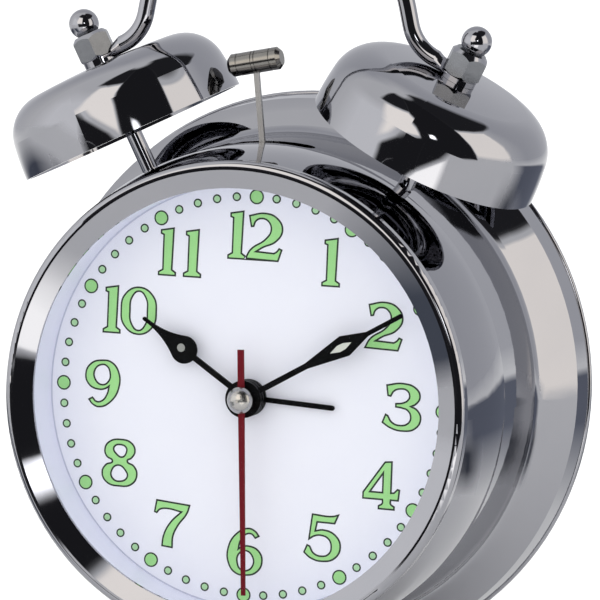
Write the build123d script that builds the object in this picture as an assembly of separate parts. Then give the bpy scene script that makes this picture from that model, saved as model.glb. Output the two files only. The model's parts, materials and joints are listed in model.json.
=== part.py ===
from build123d import *
import os
from math import acos, asin, atan2, cos, degrees, hypot, radians, sin, sqrt, tan

# Twin-bell quartz alarm clock. Sizes are in millimetres, angles in degrees.
# Pieces are drawn upright, with the dial's centre on its front face as origin:
# X to the right, Y from the front to the back and Z up. stand_up then leans the
# clock back on its feet and puts the origin under it.

# Stance and fits
lean_back = 6.2
running_gap = 0.05
seat_gap = 0.02
air_gap = 0.3
cut_over = 2.0

# Case: a pressed steel drum that opens into a wide rear rim
case_wall = 0.8
drum_r = 49.4
mouth_step = 3.1
case_mouth_y = -9.4
drum_shoulder_y = 8.0
shoulder_r_share = 0.22
shoulder_y_share = 0.52
drum_growth = 0.9
drum_rear_y = 27.5
flare_rise = 6.9
flare_depth = 6.7
flare_bulge = 0.15
crease_reach = 2.2
rim_growth = 0.8
rim_depth = 6.0
bead_rise = 0.5
bead_width = 1.2
ledge_width = 7.6
ledge_thickness = 0.9
slot_length = 17.0
slot_width = 4.4

# Bezel, lens, inner ring and dial
bezel_overhang = 0.6
bezel_edge_width = 1.8
bezel_face_width = 3.6
bezel_edge_height = 1.8
bezel_crest_rise = 1.0
bezel_face_sink = 1.6
bezel_lip_thickness = 0.7
bezel_flat = 0.45
bezel_skirt_length = 3.6
lens_lap = 2.1
lens_thickness = 1.2
ring_step = 0.5
ring_draft = 0.3
dial_play = 0.7
dial_thickness = 0.8

# Bells on their posts. Distances along a post start where it meets the drum.
bell_tilt = 25.9
bell_plane_lean = 6.0
bell_plane_y = 16.2
post_foot_angle = 32.3
post_r = 1.65
post_thread_r = 1.25
post_foot_gap = 0.35
post_tail = 4.6
rim_height = 8.95
bell_r = 23.3
bell_wall = 0.9
bell_side_bow_r = 58.0
bell_shoulder_r = 8.4
bell_rim_slope = 1.4
bell_shoulder_slope = 8.7
bell_crown_slope = 85.0
base_nut_flats = 5.5
base_nut_height = 2.2
base_nut_gap = 0.55
nut_flats = 7.1
nut_turn = 17.0
nut_height = 5.3
nut_chamfer_share = 0.155
nut_foot_share = 0.1
ball_r = 3.0
ball_height = 7.45
nut_bore_depth = 4.0

# Carrying handle: a bent rod with flattened ends under the ball nuts
handle_rod_r = 1.7
tab_thickness = 1.1
tab_width = 6.2
tab_straight = 3.5
tab_taper = 2.2
tab_run = 4.73
arm_lean = 11.6
arch_rise = 2.24
handle_bend_r = 9.0

# Feet: turned legs screwed to the drum
foot_angle = 30.0
foot_y = 6.0
foot_collar_r = 4.2
foot_collar_height = 2.4
foot_stem_r = 2.5
foot_ball_r = 4.3
foot_collar_gap = 0.35
foot_ball_sink_share = 0.16
foot_screw_r = 1.2
foot_screw_depth = 9.0
foot_head_r = 2.8
foot_head_height = 1.6
foot_head_gap = 0.6

# Hammer between the bells
hammer_y = 9.2
hammer_pivot_drop = 19.4
hammer_rise = 5.1
hammer_over = 1.25
hammer_rest_back = 1.5
hammer_head_tilt = 4.5
hammer_head_r = 2.25
hammer_head_length = 11.0
hammer_chamfer = 0.75
hammer_groove = 0.18
hammer_groove_width = 0.35
hammer_groove_shares = (-0.31, -0.03, 0.03, 0.31)
hammer_strip_width = 1.1
hammer_strip_depth = 0.8
hammer_socket_depth = 3.0
hammer_hub_r = 2.4
hammer_hub_width = 2.0
pivot_pin_r = 0.9
fork_reach = 10.2
fork_half_gap = 2.75
fork_prong = 1.0
fork_bridge = 1.4
fork_top_share = 0.42

# Movement: three plates on pillars behind the dial
plate_half_width = 28.5
plate_bottom_z = -18.0
plate_top_z = 16.0
plate_corner_r = 3.0
front_plate_inset = 2.8
front_plate_over = 9.0
front_plate_y = 2.0
front_plate_thickness = 1.5
layer_pitch = 1.6
gear_width = 1.0
plate_thickness = 1.2
pillar_r = 1.7
pillar_inset = 2.5
dial_boss_r = 2.0
dial_boss_x = 25.0
dial_boss_high_z = 26.0
dial_boss_low_z = -15.5
plate_screw_r = 0.8
plate_screw_head_r = 1.9
plate_screw_head = 1.2

# Shafts and wheels
arbor_r = 0.5
pipe_wall = 0.55
pivot_r = 0.4
stud_r = 0.8
motion_distance = 10.0
motion_angle = 150.0
time_set_angle = 165.0
time_set_distance = 10.4
alarm_set_angle = 25.0
alarm_set_distance = 18.0
third_distance = 10.2
third_angle = 210.0
step_distance = 7.2
step_angle = -60.0
rotor_distance = 7.0
rotor_angle = 0.0
set_shaft_r = 1.2
second_tooth_count = 40
step_pinion_tooth_count = 8
step_tooth_count = 48
rotor_pinion_tooth_count = 8
third_tooth_count = 64
second_pinion_tooth_count = 8
minute_tooth_count = 60
third_pinion_tooth_count = 8
cannon_tooth_count = 10
motion_tooth_count = 40
hour_tooth_count = 30
motion_pinion_tooth_count = 10
time_set_tooth_count = 12
alarm_tooth_count = 36
alarm_set_tooth_count = 36
crank_tooth_count = 20
motor_tooth_count = 10
tooth_shares = ((-1.15, -0.235), (0.80, -0.10), (0.80, 0.10), (-1.15, 0.235))

# Step motor, board and battery
rotor_r = 2.2
rotor_length = 1.8
rotor_gap = 0.4
stator_thickness = 1.2
stator_width = 7.0
stator_reach = 9.5
stator_rise = 8.6
coil_r = 3.2
coil_core_width = 2.2
coil_length = 13.0
coil_flange_r = 3.9
coil_flange = 0.8
board_width = 16.0
board_height = 14.0
board_x = -13.0
board_z = -5.5
board_thickness = 1.2
chip_r = 3.0
chip_height = 1.1
chip_x_share = -0.18
chip_z_share = 0.12
crystal_r = 1.0
crystal_length = 6.0
crystal_x_share = 0.26
battery_r = 7.15
battery_length = 48.5
battery_nub_r = 2.75
battery_nub = 1.5
battery_z = -27.5
battery_y = 26.5
contact_thickness = 0.5
contact_size = 9.0
box_wall = 1.2
box_play = 0.45

# Hands, counted from the dial outwards
hand_first_y = -0.7
hand_pitch = 1.35
hand_hub = 0.9
hand_thickness = 0.4
hand_hub_r = 3.65
alarm_hand_length = 17.8
alarm_hand_width = 1.0
alarm_hand_angle = 92.6
hour_hand_short = 10.5
hour_stem_width = 1.15
hour_body_share = 0.6
hour_body_r = 2.75
hour_tip_width = 0.75
hour_flank_share = 0.88
hour_waist_share = 0.55
hour_waist_width_share = 0.95
hour_hand_angle = 303.3
minute_hand_clear = 5.3
minute_stem_width = 1.15
minute_body_shares = {"start": 0.398, "widest": 0.638, "end": 0.779}
minute_body_width = 4.2
minute_tip_width = 0.9
minute_hand_angle = 59.6
second_hand_clear = 3.6
second_hand_tail = 9.8
second_root_width = 1.3
second_tip_width = 0.85
second_hand_angle = 177.4
second_hub_r = 2.2
cap_r = 2.6
cap_height = 2.2
cap_edge = 0.5

# Alarm works above the movement
bracket_y = 12.0
bracket_thickness = 1.2
bracket_half_width = 19.0
bracket_below = 12.4
bracket_above = 5.0
bracket_post_r = 1.8
bracket_post_inset = 2.6
crank_drop = 7.7
crank_distance = 6.0
crank_angle = 0.0
crank_throw = 0.8
crank_pin_r = 0.5
crank_gear_gap = 0.35
motor_r = 6.0
motor_flat = 5.0
motor_length = 13.0
motor_shaft_r = 0.75
motor_boss_r = 2.4
motor_boss = 1.2

# Back cover, its knobs, switch and battery door
cover_thickness = 2.0
cover_rim_height = 2.0
cover_rim_width = 1.6
cover_screw_r = 1.1
cover_screw_head_r = 2.3
cover_screw_head = 1.3
cover_screw_length = 4.0
cover_screw_count = 4
cover_screw_turn = 45.0
boss_r = 3.4
knob_r = 6.0
knob_height = 5.0
knob_grip = 0.35
knob_grip_count = 24
knob_gap = 0.6
knob_socket_depth = 3.4
switch_z = 26.0
switch_travel = 3.0
switch_grip_width = 5.0
switch_grip_height = 3.4
switch_grip_stand = 2.2
switch_rib = 0.5
switch_rib_count = 3
switch_flange_over = 2.0
switch_flange = 1.2
switch_slot_gap = 0.25
switch_base_depth = 1.6
switch_post = 1.6
door_margin = 1.0
door_hinge_r = 0.9
door_pin_r = 0.6
door_pin_length = 1.4
door_notch_width = 11.0
door_notch_depth = 3.0
door_notch_sink_share = 0.5

# Radii, heights and lengths that follow from the drum
case_mouth_r = drum_r - mouth_step
drum_rear_r = drum_r + drum_growth
flare_r = drum_rear_r + flare_rise
rim_r = flare_r + rim_growth
rim_bead_r = rim_r + bead_rise
ledge_inner_r = flare_r - ledge_width
bezel_outer_r = case_mouth_r + bezel_overhang
bezel_crest_r = bezel_outer_r - bezel_edge_width
bezel_lip_r = bezel_crest_r - bezel_face_width
lens_r = bezel_lip_r + lens_lap
ring_inner_r = bezel_lip_r + ring_step
dial_r = case_mouth_r - case_wall - dial_play
front_plate_r = dial_r - front_plate_inset
hammer_pivot_z = drum_r - hammer_pivot_drop
crank_z = hammer_pivot_z - crank_drop
bracket_bottom_z = hammer_pivot_z - bracket_below
bracket_top_z = hammer_pivot_z + bracket_above
front_plate_top_z = hammer_pivot_z + front_plate_over
second_hand_length = ring_inner_r - second_hand_clear
minute_hand_length = ring_inner_r - minute_hand_clear
hour_hand_length = minute_hand_length - hour_hand_short
hour_body_at = hour_hand_length * hour_body_share

# A bell's wall is three arcs that run into one another: side, shoulder and crown.
# Their centres are distances out from the bell's axis and up from its rim.
bell_side_centre = (bell_r - bell_side_bow_r * cos(radians(bell_rim_slope)),
                    -bell_side_bow_r * sin(radians(bell_rim_slope)))
bell_centre_run = bell_side_bow_r - bell_shoulder_r
bell_shoulder_centre = (bell_side_centre[0] + bell_centre_run * cos(radians(bell_shoulder_slope)),
                        bell_side_centre[1] + bell_centre_run * sin(radians(bell_shoulder_slope)))
bell_crown_r = bell_shoulder_centre[0] / cos(radians(bell_crown_slope)) + bell_shoulder_r
bell_crown_centre = (0, bell_shoulder_centre[1] - bell_shoulder_centre[0] * tan(radians(bell_crown_slope)))
bell_height = bell_crown_centre[1] + sqrt(bell_crown_r ** 2 - (post_thread_r + seat_gap) ** 2)

# Where a post's axis meets the drum, and the bell's rim nearest the middle, as
# distances across and up the bells' plane
post_foot_x = drum_r * sin(radians(post_foot_angle))
post_foot_up = drum_r * cos(radians(post_foot_angle)) / cos(radians(bell_plane_lean))
bell_side_x = post_foot_x + rim_height * sin(radians(bell_tilt)) - bell_r * cos(radians(bell_tilt))
bell_side_up = post_foot_up + rim_height * cos(radians(bell_tilt)) + bell_r * sin(radians(bell_tilt))



def strike_lean(end_up):
    # How far the hammer leans from upright when one end of its head, end_up above the pivot, meets a bell
    reach = hypot(hammer_end_x, end_up)
    return degrees(asin((bell_side_x + hammer_over) / reach) - atan2(hammer_end_x, end_up))


# The handle spans the bells, and the hammer's head swings between their rims
rod_height = rim_height + bell_height + handle_rod_r + seat_gap
rod_start = tab_straight + tab_taper
rod_corner = rod_start + tab_run
rod_corner_x = post_foot_x + rod_height * sin(radians(bell_tilt)) - rod_corner * cos(radians(bell_tilt))
rod_corner_up = post_foot_up + rod_height * cos(radians(bell_tilt)) + rod_corner * sin(radians(bell_tilt))
arch_centre_up = rod_corner_up + arch_rise
arch_r = rod_corner_x * cos(radians(arm_lean)) - arch_rise * sin(radians(arm_lean))
hammer_reach = bell_side_up + hammer_rise - hammer_pivot_z
hammer_end_x = hammer_head_length / 2 * cos(radians(hammer_head_tilt))
hammer_end_rise = hammer_head_length / 2 * sin(radians(hammer_head_tilt))
hammer_strike_lean = strike_lean(hammer_reach - hammer_end_rise)
hammer_far_lean = strike_lean(hammer_reach + hammer_end_rise)
hammer_lean = hammer_strike_lean - hammer_rest_back

# Depths that follow from the sizes above
flare_y = drum_rear_y + flare_depth
rim_bead_y = flare_y + rim_depth
rim_end_y = rim_bead_y + bead_width
bezel_outer_y = case_mouth_y - bezel_edge_height
bezel_crest_y = bezel_outer_y - bezel_crest_rise
bezel_lip_y = bezel_crest_y + bezel_face_sink
dial_back_y = dial_thickness
front_plate_back_y = front_plate_y + front_plate_thickness
layer_gap = layer_pitch - gear_width
alarm_layer_y = front_plate_back_y + layer_gap
hour_layer_y = alarm_layer_y + layer_pitch
motion_layer_y = hour_layer_y + layer_pitch
middle_plate_y = motion_layer_y + layer_pitch
middle_plate_back_y = middle_plate_y + plate_thickness
minute_layer_y = middle_plate_back_y + layer_gap
third_layer_y = minute_layer_y + layer_pitch
second_layer_y = third_layer_y + layer_pitch
step_layer_y = second_layer_y + layer_pitch
rotor_y = step_layer_y + layer_pitch
rear_plate_y = rotor_y + rotor_length + layer_gap
rear_plate_back_y = rear_plate_y + plate_thickness
ledge_y = flare_y + case_wall
cover_y = ledge_y + ledge_thickness
cover_back_y = cover_y + cover_thickness
lens_y = bezel_lip_y + bezel_lip_thickness
lens_back_y = lens_y + lens_thickness

# Radii of the nested pipes
minute_bore_r = arbor_r + running_gap
minute_pipe_r = minute_bore_r + pipe_wall
hour_bore_r = minute_pipe_r + running_gap
hour_pipe_r = hour_bore_r + pipe_wall
alarm_bore_r = hour_pipe_r + running_gap
alarm_pipe_r = alarm_bore_r + pipe_wall
dial_hole_r = alarm_pipe_r + air_gap


def polar(distance, angle):
    return (distance * cos(radians(angle)), distance * sin(radians(angle)))


def offset_from(start, distance, angle):
    step = polar(distance, angle)
    return (start[0] + step[0], start[1] + step[1])


def front_plane(y):
    return Plane(origin=(0, y, 0), x_dir=(1, 0, 0), z_dir=(0, -1, 0))


def slab(sketch, y_front, y_back):
    return extrude(front_plane(y_back) * sketch, amount=y_back - y_front)


def rod(place, radius, y_front, y_back):
    return slab(Pos(place[0], place[1]) * Circle(radius), y_front, y_back)


def turned(edges, axis=Axis.Y):
    return revolve(make_face(edges), axis)


def turned_outline(corners, axis=Axis.Y):
    return turned(Polyline(*corners, close=True), axis)


def gear(tooth_count, module, phase):
    step = 360 / tooth_count
    corners = []
    for index in range(tooth_count):
        for reach_share, swing_share in tooth_shares:
            reach = tooth_count * module / 2 + reach_share * module
            corners.append(polar(reach, phase + (index + swing_share) * step))
    return Polygon(*corners, align=None)


def wheel(place, tooth_count, module, phase, y_front):
    return slab(Pos(*place) * gear(tooth_count, module, phase), y_front, y_front + gear_width)


def pair_module(distance, first_count, second_count):
    return 2 * distance / (first_count + second_count)


def mesh_phase(phase, first_count, second_count, direction):
    # Turns the second gear so that one of its gaps meets the first gear's tooth.
    swing = (direction - phase) * first_count / second_count
    return direction + 180 + swing + 180 / second_count


def corner_r(flats):
    return flats / (2 * cos(radians(30)))


def hexagon(flats):
    return RegularPolygon(corner_r(flats), 6)


# Case and front


def make_case():
    crease_share = crease_reach / hypot(flare_r - drum_rear_r, flare_y - drum_rear_y)
    crease_end = (drum_rear_r + (flare_r - drum_rear_r) * crease_share,
                  drum_rear_y + (flare_y - drum_rear_y) * crease_share)
    crease_start = (drum_rear_r, drum_rear_y - crease_reach)
    shoulder_r = drum_r - (drum_r - case_mouth_r) * shoulder_r_share
    shoulder_y = case_mouth_y + (drum_shoulder_y - case_mouth_y) * shoulder_y_share
    flare_mid = arc_middle(crease_end, (flare_r, flare_y), flare_bulge)
    drum_line = Line((drum_r, drum_shoulder_y), crease_start)
    flare = ThreePointArc(crease_end, flare_mid, (flare_r, flare_y))
    bead_y = (rim_bead_y + rim_end_y) / 2
    outside = [
        ThreePointArc((case_mouth_r, case_mouth_y), (shoulder_r, shoulder_y), (drum_r, drum_shoulder_y)),
        drum_line,
        Spline(crease_start, crease_end, tangents=(drum_line % 1, flare % 0)),
        flare,
        Line((flare_r, flare_y), (rim_r, rim_bead_y)),
        ThreePointArc((rim_r, rim_bead_y), (rim_bead_r, bead_y), (rim_r, rim_end_y)),
    ]
    inside = Polyline(
        (rim_r, rim_end_y),
        (rim_r - case_wall, rim_end_y),
        (flare_r - case_wall, flare_y + case_wall),
        (drum_rear_r - case_wall, drum_rear_y + case_wall),
        (drum_r - case_wall, drum_shoulder_y),
        (shoulder_r - case_wall, shoulder_y),
        (case_mouth_r - case_wall, case_mouth_y),
        (case_mouth_r, case_mouth_y),
    )
    shell = turned(outside + [inside])
    ledge = slab(Circle(flare_r - case_wall / 2) - Circle(ledge_inner_r), ledge_y, cover_y)
    shell = shell + ledge
    slot = extrude(
        Plane(origin=(0, hammer_y, drum_r - cut_over - case_wall)) * SlotOverall(slot_length, slot_width),
        amount=case_wall + 2 * cut_over,
    )
    shell = shell - slot
    for side in (-1, 1):
        shell = shell - post_frame(side) * upright_rod(post_thread_r + seat_gap, -post_tail, cut_over)
        shell = shell - foot_frame(side) * upright_rod(foot_screw_r + seat_gap, -foot_screw_depth, cut_over)
    for place in cover_screw_places():
        shell = shell - rod(place, cover_screw_r + seat_gap, ledge_y - cut_over, cover_y + cut_over)
    return shell


def arc_middle(start, end, bulge):
    run = (end[0] - start[0], end[1] - start[1])
    length = hypot(*run)
    return ((start[0] + end[0]) / 2 + bulge * run[1] / length,
            (start[1] + end[1]) / 2 - bulge * run[0] / length)


def make_bezel():
    skirt_r = case_mouth_r - case_wall - seat_gap
    skirt_inner_r = lens_r + air_gap
    crest_end = (bezel_crest_r + bezel_flat, bezel_crest_y)
    corner = bezel_outer_r - (bezel_outer_r - bezel_crest_r - bezel_flat) * (1 - cos(radians(45)))
    corner_y = bezel_outer_y + (bezel_crest_y - bezel_outer_y) * sin(radians(45))
    edges = [
        Polyline((bezel_lip_r, lens_y), (bezel_lip_r, bezel_lip_y), (bezel_crest_r, bezel_crest_y)),
        Line((bezel_crest_r, bezel_crest_y), crest_end),
        ThreePointArc(crest_end, (corner, corner_y), (bezel_outer_r, bezel_outer_y)),
        Polyline(
            (bezel_outer_r, bezel_outer_y),
            (bezel_outer_r, case_mouth_y),
            (skirt_r, case_mouth_y),
            (skirt_r, case_mouth_y + bezel_skirt_length),
            (skirt_inner_r, case_mouth_y + bezel_skirt_length),
            (skirt_inner_r, lens_y),
            (bezel_lip_r, lens_y),
        ),
    ]
    return turned(edges)


def make_lens():
    return slab(Circle(lens_r), lens_y, lens_back_y)


def make_dial_ring():
    return turned_outline([
        (ring_inner_r + ring_draft, lens_back_y),
        (lens_r, lens_back_y),
        (lens_r, 0),
        (ring_inner_r, 0),
    ])


def make_dial():
    return slab(Circle(dial_r) - Circle(dial_hole_r), 0, dial_back_y)


# Bells, posts, nuts and handle


def bell_plane():
    tilt = radians(bell_plane_lean)
    return Plane(origin=(0, bell_plane_y, 0), x_dir=(1, 0, 0), z_dir=(0, -cos(tilt), -sin(tilt)))


def post_frame(side):
    plane = bell_plane()
    tilt = radians(bell_tilt)
    along = plane.y_dir * cos(tilt) + plane.x_dir * (side * sin(tilt))
    start = plane.from_local_coords((side * post_foot_x, post_foot_up, 0))
    return Plane(origin=start, x_dir=plane.z_dir, z_dir=along)


def upright_rod(radius, bottom, top):
    return extrude(Plane.XY.offset(bottom) * Circle(radius), amount=top - bottom)


def arc_about(centre, radius, start_slope, end_slope):
    points = []
    for slope in (start_slope, (start_slope + end_slope) / 2, end_slope):
        points.append((centre[0] + radius * cos(radians(slope)), centre[1] + radius * sin(radians(slope))))
    return ThreePointArc(*points)


def bell_curve(inset):
    # One side of the bell's wall, from the rim up to the hole for the post.
    hole_r = post_thread_r + seat_gap
    top_slope = degrees(acos(hole_r / (bell_crown_r - inset)))
    return [
        arc_about(bell_side_centre, bell_side_bow_r - inset, bell_rim_slope, bell_shoulder_slope),
        arc_about(bell_shoulder_centre, bell_shoulder_r - inset, bell_shoulder_slope, bell_crown_slope),
        arc_about(bell_crown_centre, bell_crown_r - inset, bell_crown_slope, top_slope),
    ]


def make_bell(side):
    outside = bell_curve(0)
    inside = bell_curve(bell_wall)
    ends = [
        Line(outside[0] @ 0, inside[0] @ 0),
        Line(outside[-1] @ 1, inside[-1] @ 1),
    ]
    bell = turned(outside + inside + ends)
    return post_frame(side) * (Pos(0, 0, rim_height) * (Rot(90, 0, 0) * bell))


def make_posts():
    shoulder = rim_height + bell_height - bell_wall
    thread_top = rim_height + bell_height + tab_thickness + nut_bore_depth - air_gap
    post = upright_rod(post_r, post_foot_gap, shoulder) + upright_rod(post_thread_r, -post_tail, thread_top)
    return [post_frame(side) * post for side in (-1, 1)]


def make_base_nuts():
    top = -case_wall - base_nut_gap
    nut = extrude(Plane.XY.offset(top - base_nut_height) * hexagon(base_nut_flats), amount=base_nut_height)
    nut = nut - upright_rod(post_thread_r + seat_gap, top - base_nut_height - cut_over, top + cut_over)
    return [post_frame(side) * nut for side in (-1, 1)]


def make_ball_nuts():
    base = rim_height + bell_height + tab_thickness
    nut_r = corner_r(nut_flats)
    bevel = nut_flats * nut_chamfer_share
    foot_bevel = nut_flats * nut_foot_share
    block = extrude(Plane.XY.offset(base) * (Rot(0, 0, nut_turn) * hexagon(nut_flats)), amount=nut_height)
    turning = turned_outline([
        (0, base),
        (nut_r - foot_bevel, base),
        (nut_r, base + foot_bevel),
        (nut_r, base + nut_height - bevel),
        (nut_r - bevel, base + nut_height),
        (0, base + nut_height),
    ])
    block = block & (Rot(90, 0, 0) * turning)
    nut = block + Pos(0, 0, base + ball_height) * Sphere(ball_r)
    nut = nut - upright_rod(post_thread_r + seat_gap, base - cut_over, base + nut_bore_depth)
    return [post_frame(side) * nut for side in (-1, 1)]


def make_handle():
    # The rod's centre line lies in the bells' plane, clear above both crowns.
    tilt = radians(bell_tilt)
    arm = radians(arm_lean)
    start = (rod_corner_x + tab_run * cos(tilt), rod_corner_up - tab_run * sin(tilt))
    corner = (rod_corner_x, rod_corner_up)
    spring = (arch_r * cos(arm), arch_centre_up + arch_r * sin(arm))
    half = FilletPolyline(start, corner, spring, radius=handle_bend_r)
    arch = ThreePointArc(spring, (0, arch_centre_up + arch_r), (-spring[0], spring[1]))
    path = bell_plane() * Wire([*half.edges(), arch, *mirror(half, Plane.YZ).edges()])
    handle = sweep(Plane(path @ 0, z_dir=path % 0) * Circle(handle_rod_r), path)
    for side in (-1, 1):
        handle = handle + post_frame(side) * make_handle_tab(side)
    return handle


def make_handle_tab(side):
    # Drawn in the post's own frame, where Y points along the bells' plane.
    base = rim_height + bell_height
    inward = -side
    plate = SlotOverall(2 * tab_straight, tab_width, rotation=90)
    tab = extrude(Plane.XY.offset(base) * plate, amount=tab_thickness)
    flat_y = inward * (tab_straight - tab_width / 2)
    round_y = inward * rod_start
    flat = Plane(origin=(0, flat_y, base + tab_thickness / 2), x_dir=(1, 0, 0), z_dir=(0, inward, 0))
    circle = Plane(origin=(0, round_y, base + handle_rod_r + seat_gap), x_dir=(1, 0, 0), z_dir=(0, inward, 0))
    neck = loft([flat * SlotOverall(tab_width, tab_thickness), circle * Circle(handle_rod_r)])
    hole = upright_rod(post_thread_r + seat_gap, base - cut_over, base + cut_over)
    top = base + tab_thickness
    clear = upright_rod(corner_r(nut_flats) + air_gap, top, top + 2 * handle_rod_r)
    return tab + neck - hole - clear


# Feet


def foot_frame(side):
    across = drum_r * sin(radians(foot_angle))
    down = drum_r * cos(radians(foot_angle))
    out = Vector(side * sin(radians(foot_angle)), 0, -cos(radians(foot_angle)))
    return Plane(origin=(side * across, foot_y, -down), x_dir=(0, 1, 0), z_dir=out)


def rim_drop():
    # Height of the dial's centre above the floor once the rear rim rests on it
    lean = radians(lean_back)
    rise = rim_bead_r - rim_r
    half = (rim_end_y - rim_bead_y) / 2
    bead_round = (half ** 2 + rise ** 2) / (2 * rise)
    return (rim_bead_r - bead_round) * cos(lean) + (rim_bead_y + half) * sin(lean) + bead_round


def foot_length():
    # Along the leg, from the drum to where it meets the floor
    lean = radians(lean_back)
    floor_z = (-rim_drop() + foot_y * sin(lean)) / cos(lean)
    return (-floor_z - drum_r * cos(radians(foot_angle))) / cos(radians(foot_angle))


def make_feet():
    length = foot_length()
    ball_z = length - foot_ball_r * (1 - foot_ball_sink_share)
    profile = [
        (0, foot_collar_gap),
        (foot_collar_r, foot_collar_gap),
        (foot_collar_r, foot_collar_height),
        (foot_stem_r, foot_collar_height + foot_collar_r - foot_stem_r),
        (foot_stem_r, ball_z),
        (0, ball_z),
    ]
    leg = Rot(90, 0, 0) * turned_outline(profile)
    leg = leg + Pos(0, 0, ball_z) * Sphere(foot_ball_r)
    leg = leg - upright_rod(foot_screw_r + seat_gap, 0, foot_screw_depth + air_gap)
    lean = radians(lean_back)
    floor_point = (0, 0, -rim_drop() / cos(lean))
    floor = Plane(origin=floor_point, x_dir=(1, 0, 0), z_dir=(0, -sin(lean), cos(lean)))
    feet = []
    for side in (-1, 1):
        feet.append(split(foot_frame(side) * leg, bisect_by=floor, keep=Keep.TOP))
    return feet


def make_foot_screws():
    top = -case_wall - foot_head_gap
    screw = upright_rod(foot_screw_r, top, foot_screw_depth)
    screw = screw + upright_rod(foot_head_r, top - foot_head_height, top)
    return [foot_frame(side) * screw for side in (-1, 1)]


# Hammer and alarm works


def hammer_pose(shape):
    pivot = Pos(0, 0, hammer_pivot_z)
    return pivot * (Rot(0, -hammer_lean, 0) * (Pos(0, 0, -hammer_pivot_z) * shape))


def make_hammer_head():
    body = Cylinder(hammer_head_r, hammer_head_length)
    body = chamfer(body.edges(), hammer_chamfer)
    for share in hammer_groove_shares:
        ring = Cylinder(hammer_head_r + cut_over, hammer_groove_width)
        ring = ring - Cylinder(hammer_head_r - hammer_groove, hammer_groove_width)
        body = body - Pos(0, 0, share * hammer_head_length) * ring
    head = Pos(0, hammer_y, hammer_pivot_z + hammer_reach) * (Rot(0, 90 - hammer_head_tilt, 0) * body)
    play = 2 * seat_gap
    socket = Box(hammer_strip_width + play, hammer_strip_depth + play, hammer_socket_depth * 2)
    head = head - Pos(0, hammer_y, hammer_pivot_z + hammer_reach - hammer_head_r) * socket
    return hammer_pose(head)


def make_hammer_arm():
    top = hammer_pivot_z + hammer_reach - hammer_head_r + hammer_socket_depth - seat_gap
    strip = Pos(0, (hammer_pivot_z + top) / 2) * Rectangle(hammer_strip_width, top - hammer_pivot_z)
    fork_z = hammer_pivot_z - fork_reach
    prong_top = hammer_pivot_z - fork_reach * fork_top_share
    outer = fork_half_gap + fork_prong
    fork = Pos(0, (fork_z + prong_top) / 2) * Rectangle(2 * outer, prong_top - fork_z)
    mouth_top = prong_top - fork_bridge
    mouth = Rectangle(2 * fork_half_gap, mouth_top - fork_z + seat_gap)
    fork = fork - Pos(0, (fork_z + mouth_top) / 2) * mouth
    neck = Pos(0, (hammer_pivot_z + prong_top) / 2) * Rectangle(2 * hammer_hub_r, hammer_pivot_z - prong_top)
    half = hammer_strip_depth / 2
    arm = slab(strip + neck + fork, hammer_y - half, hammer_y + half)
    pivot = (0, hammer_pivot_z)
    arm = arm + rod(pivot, hammer_hub_r, hammer_y - hammer_hub_width / 2, hammer_y + hammer_hub_width / 2)
    arm = arm - rod(pivot, pivot_pin_r + running_gap, hammer_y - cut_over, hammer_y + cut_over)
    return hammer_pose(arm)


def make_pivot_pin():
    return rod((0, hammer_pivot_z), pivot_pin_r, front_plate_y, bracket_y + bracket_thickness)


def bracket_post_places():
    reach = bracket_half_width - bracket_post_inset
    return [(side * reach, bracket_top_z - bracket_post_inset) for side in (-1, 1)]


def crank_place():
    return (0, crank_z)


def motor_place():
    return offset_from(crank_place(), crank_distance, crank_angle)


def make_bracket():
    height = bracket_top_z - bracket_bottom_z
    outline = RectangleRounded(2 * bracket_half_width, height, bracket_post_inset)
    outline = Pos(0, bracket_bottom_z + height / 2) * outline
    back = bracket_y + bracket_thickness
    plate = slab(outline, bracket_y, back)
    plate = plate - rod((0, hammer_pivot_z), pivot_pin_r + seat_gap, bracket_y - cut_over, back + cut_over)
    plate = plate - rod(motor_place(), motor_boss_r + seat_gap, bracket_y - cut_over, back + cut_over)
    for place in bracket_post_places():
        plate = plate + rod(place, bracket_post_r, front_plate_back_y, bracket_y)
    stud_front = bracket_y - crank_gear_gap - gear_width
    return plate + rod(crank_place(), stud_r, stud_front, bracket_y)


def make_crank_gear():
    module = pair_module(crank_distance, crank_tooth_count, motor_tooth_count)
    front = bracket_y - crank_gear_gap - gear_width
    body = wheel(crank_place(), crank_tooth_count, module, crank_angle, front)
    body = body - rod(crank_place(), stud_r + running_gap, front, front + gear_width + cut_over)
    face = front - crank_gear_gap
    cap_r_here = stud_r + crank_throw + crank_pin_r
    body = body + rod(crank_place(), cap_r_here, face, front)
    pin = offset_from(crank_place(), crank_throw, 90)
    return body + rod(pin, crank_pin_r, hammer_y - hammer_strip_depth, face)


def make_motor_pinion():
    module = pair_module(crank_distance, crank_tooth_count, motor_tooth_count)
    phase = mesh_phase(crank_angle, crank_tooth_count, motor_tooth_count, crank_angle)
    front = bracket_y - crank_gear_gap - gear_width
    body = wheel(motor_place(), motor_tooth_count, module, phase, front)
    return body + rod(motor_place(), motor_shaft_r, front, bracket_y + bracket_thickness + motor_length / 2)


def make_motor():
    front = bracket_y + bracket_thickness
    outline = Circle(motor_r) & Rectangle(2 * motor_r, 2 * motor_flat)
    can = slab(Pos(*motor_place()) * outline, front, front + motor_length)
    can = can + rod(motor_place(), motor_boss_r, front - motor_boss, front)
    bore_end = front + motor_length / 2 + running_gap
    return can - rod(motor_place(), motor_shaft_r + running_gap, front - cut_over, bore_end)


# Movement


def pillar_places():
    x = plate_half_width - pillar_inset
    heights = (plate_bottom_z + pillar_inset, plate_top_z - pillar_inset)
    return [(side * x, z) for side in (-1, 1) for z in heights]


motion_place = polar(motion_distance, motion_angle)
time_set_place = offset_from(motion_place, time_set_distance, time_set_angle)
alarm_set_place = polar(alarm_set_distance, alarm_set_angle)
third_place = polar(third_distance, third_angle)
step_place = polar(step_distance, step_angle)
rotor_place = offset_from(step_place, rotor_distance, rotor_angle)
centre = (0, 0)


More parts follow.
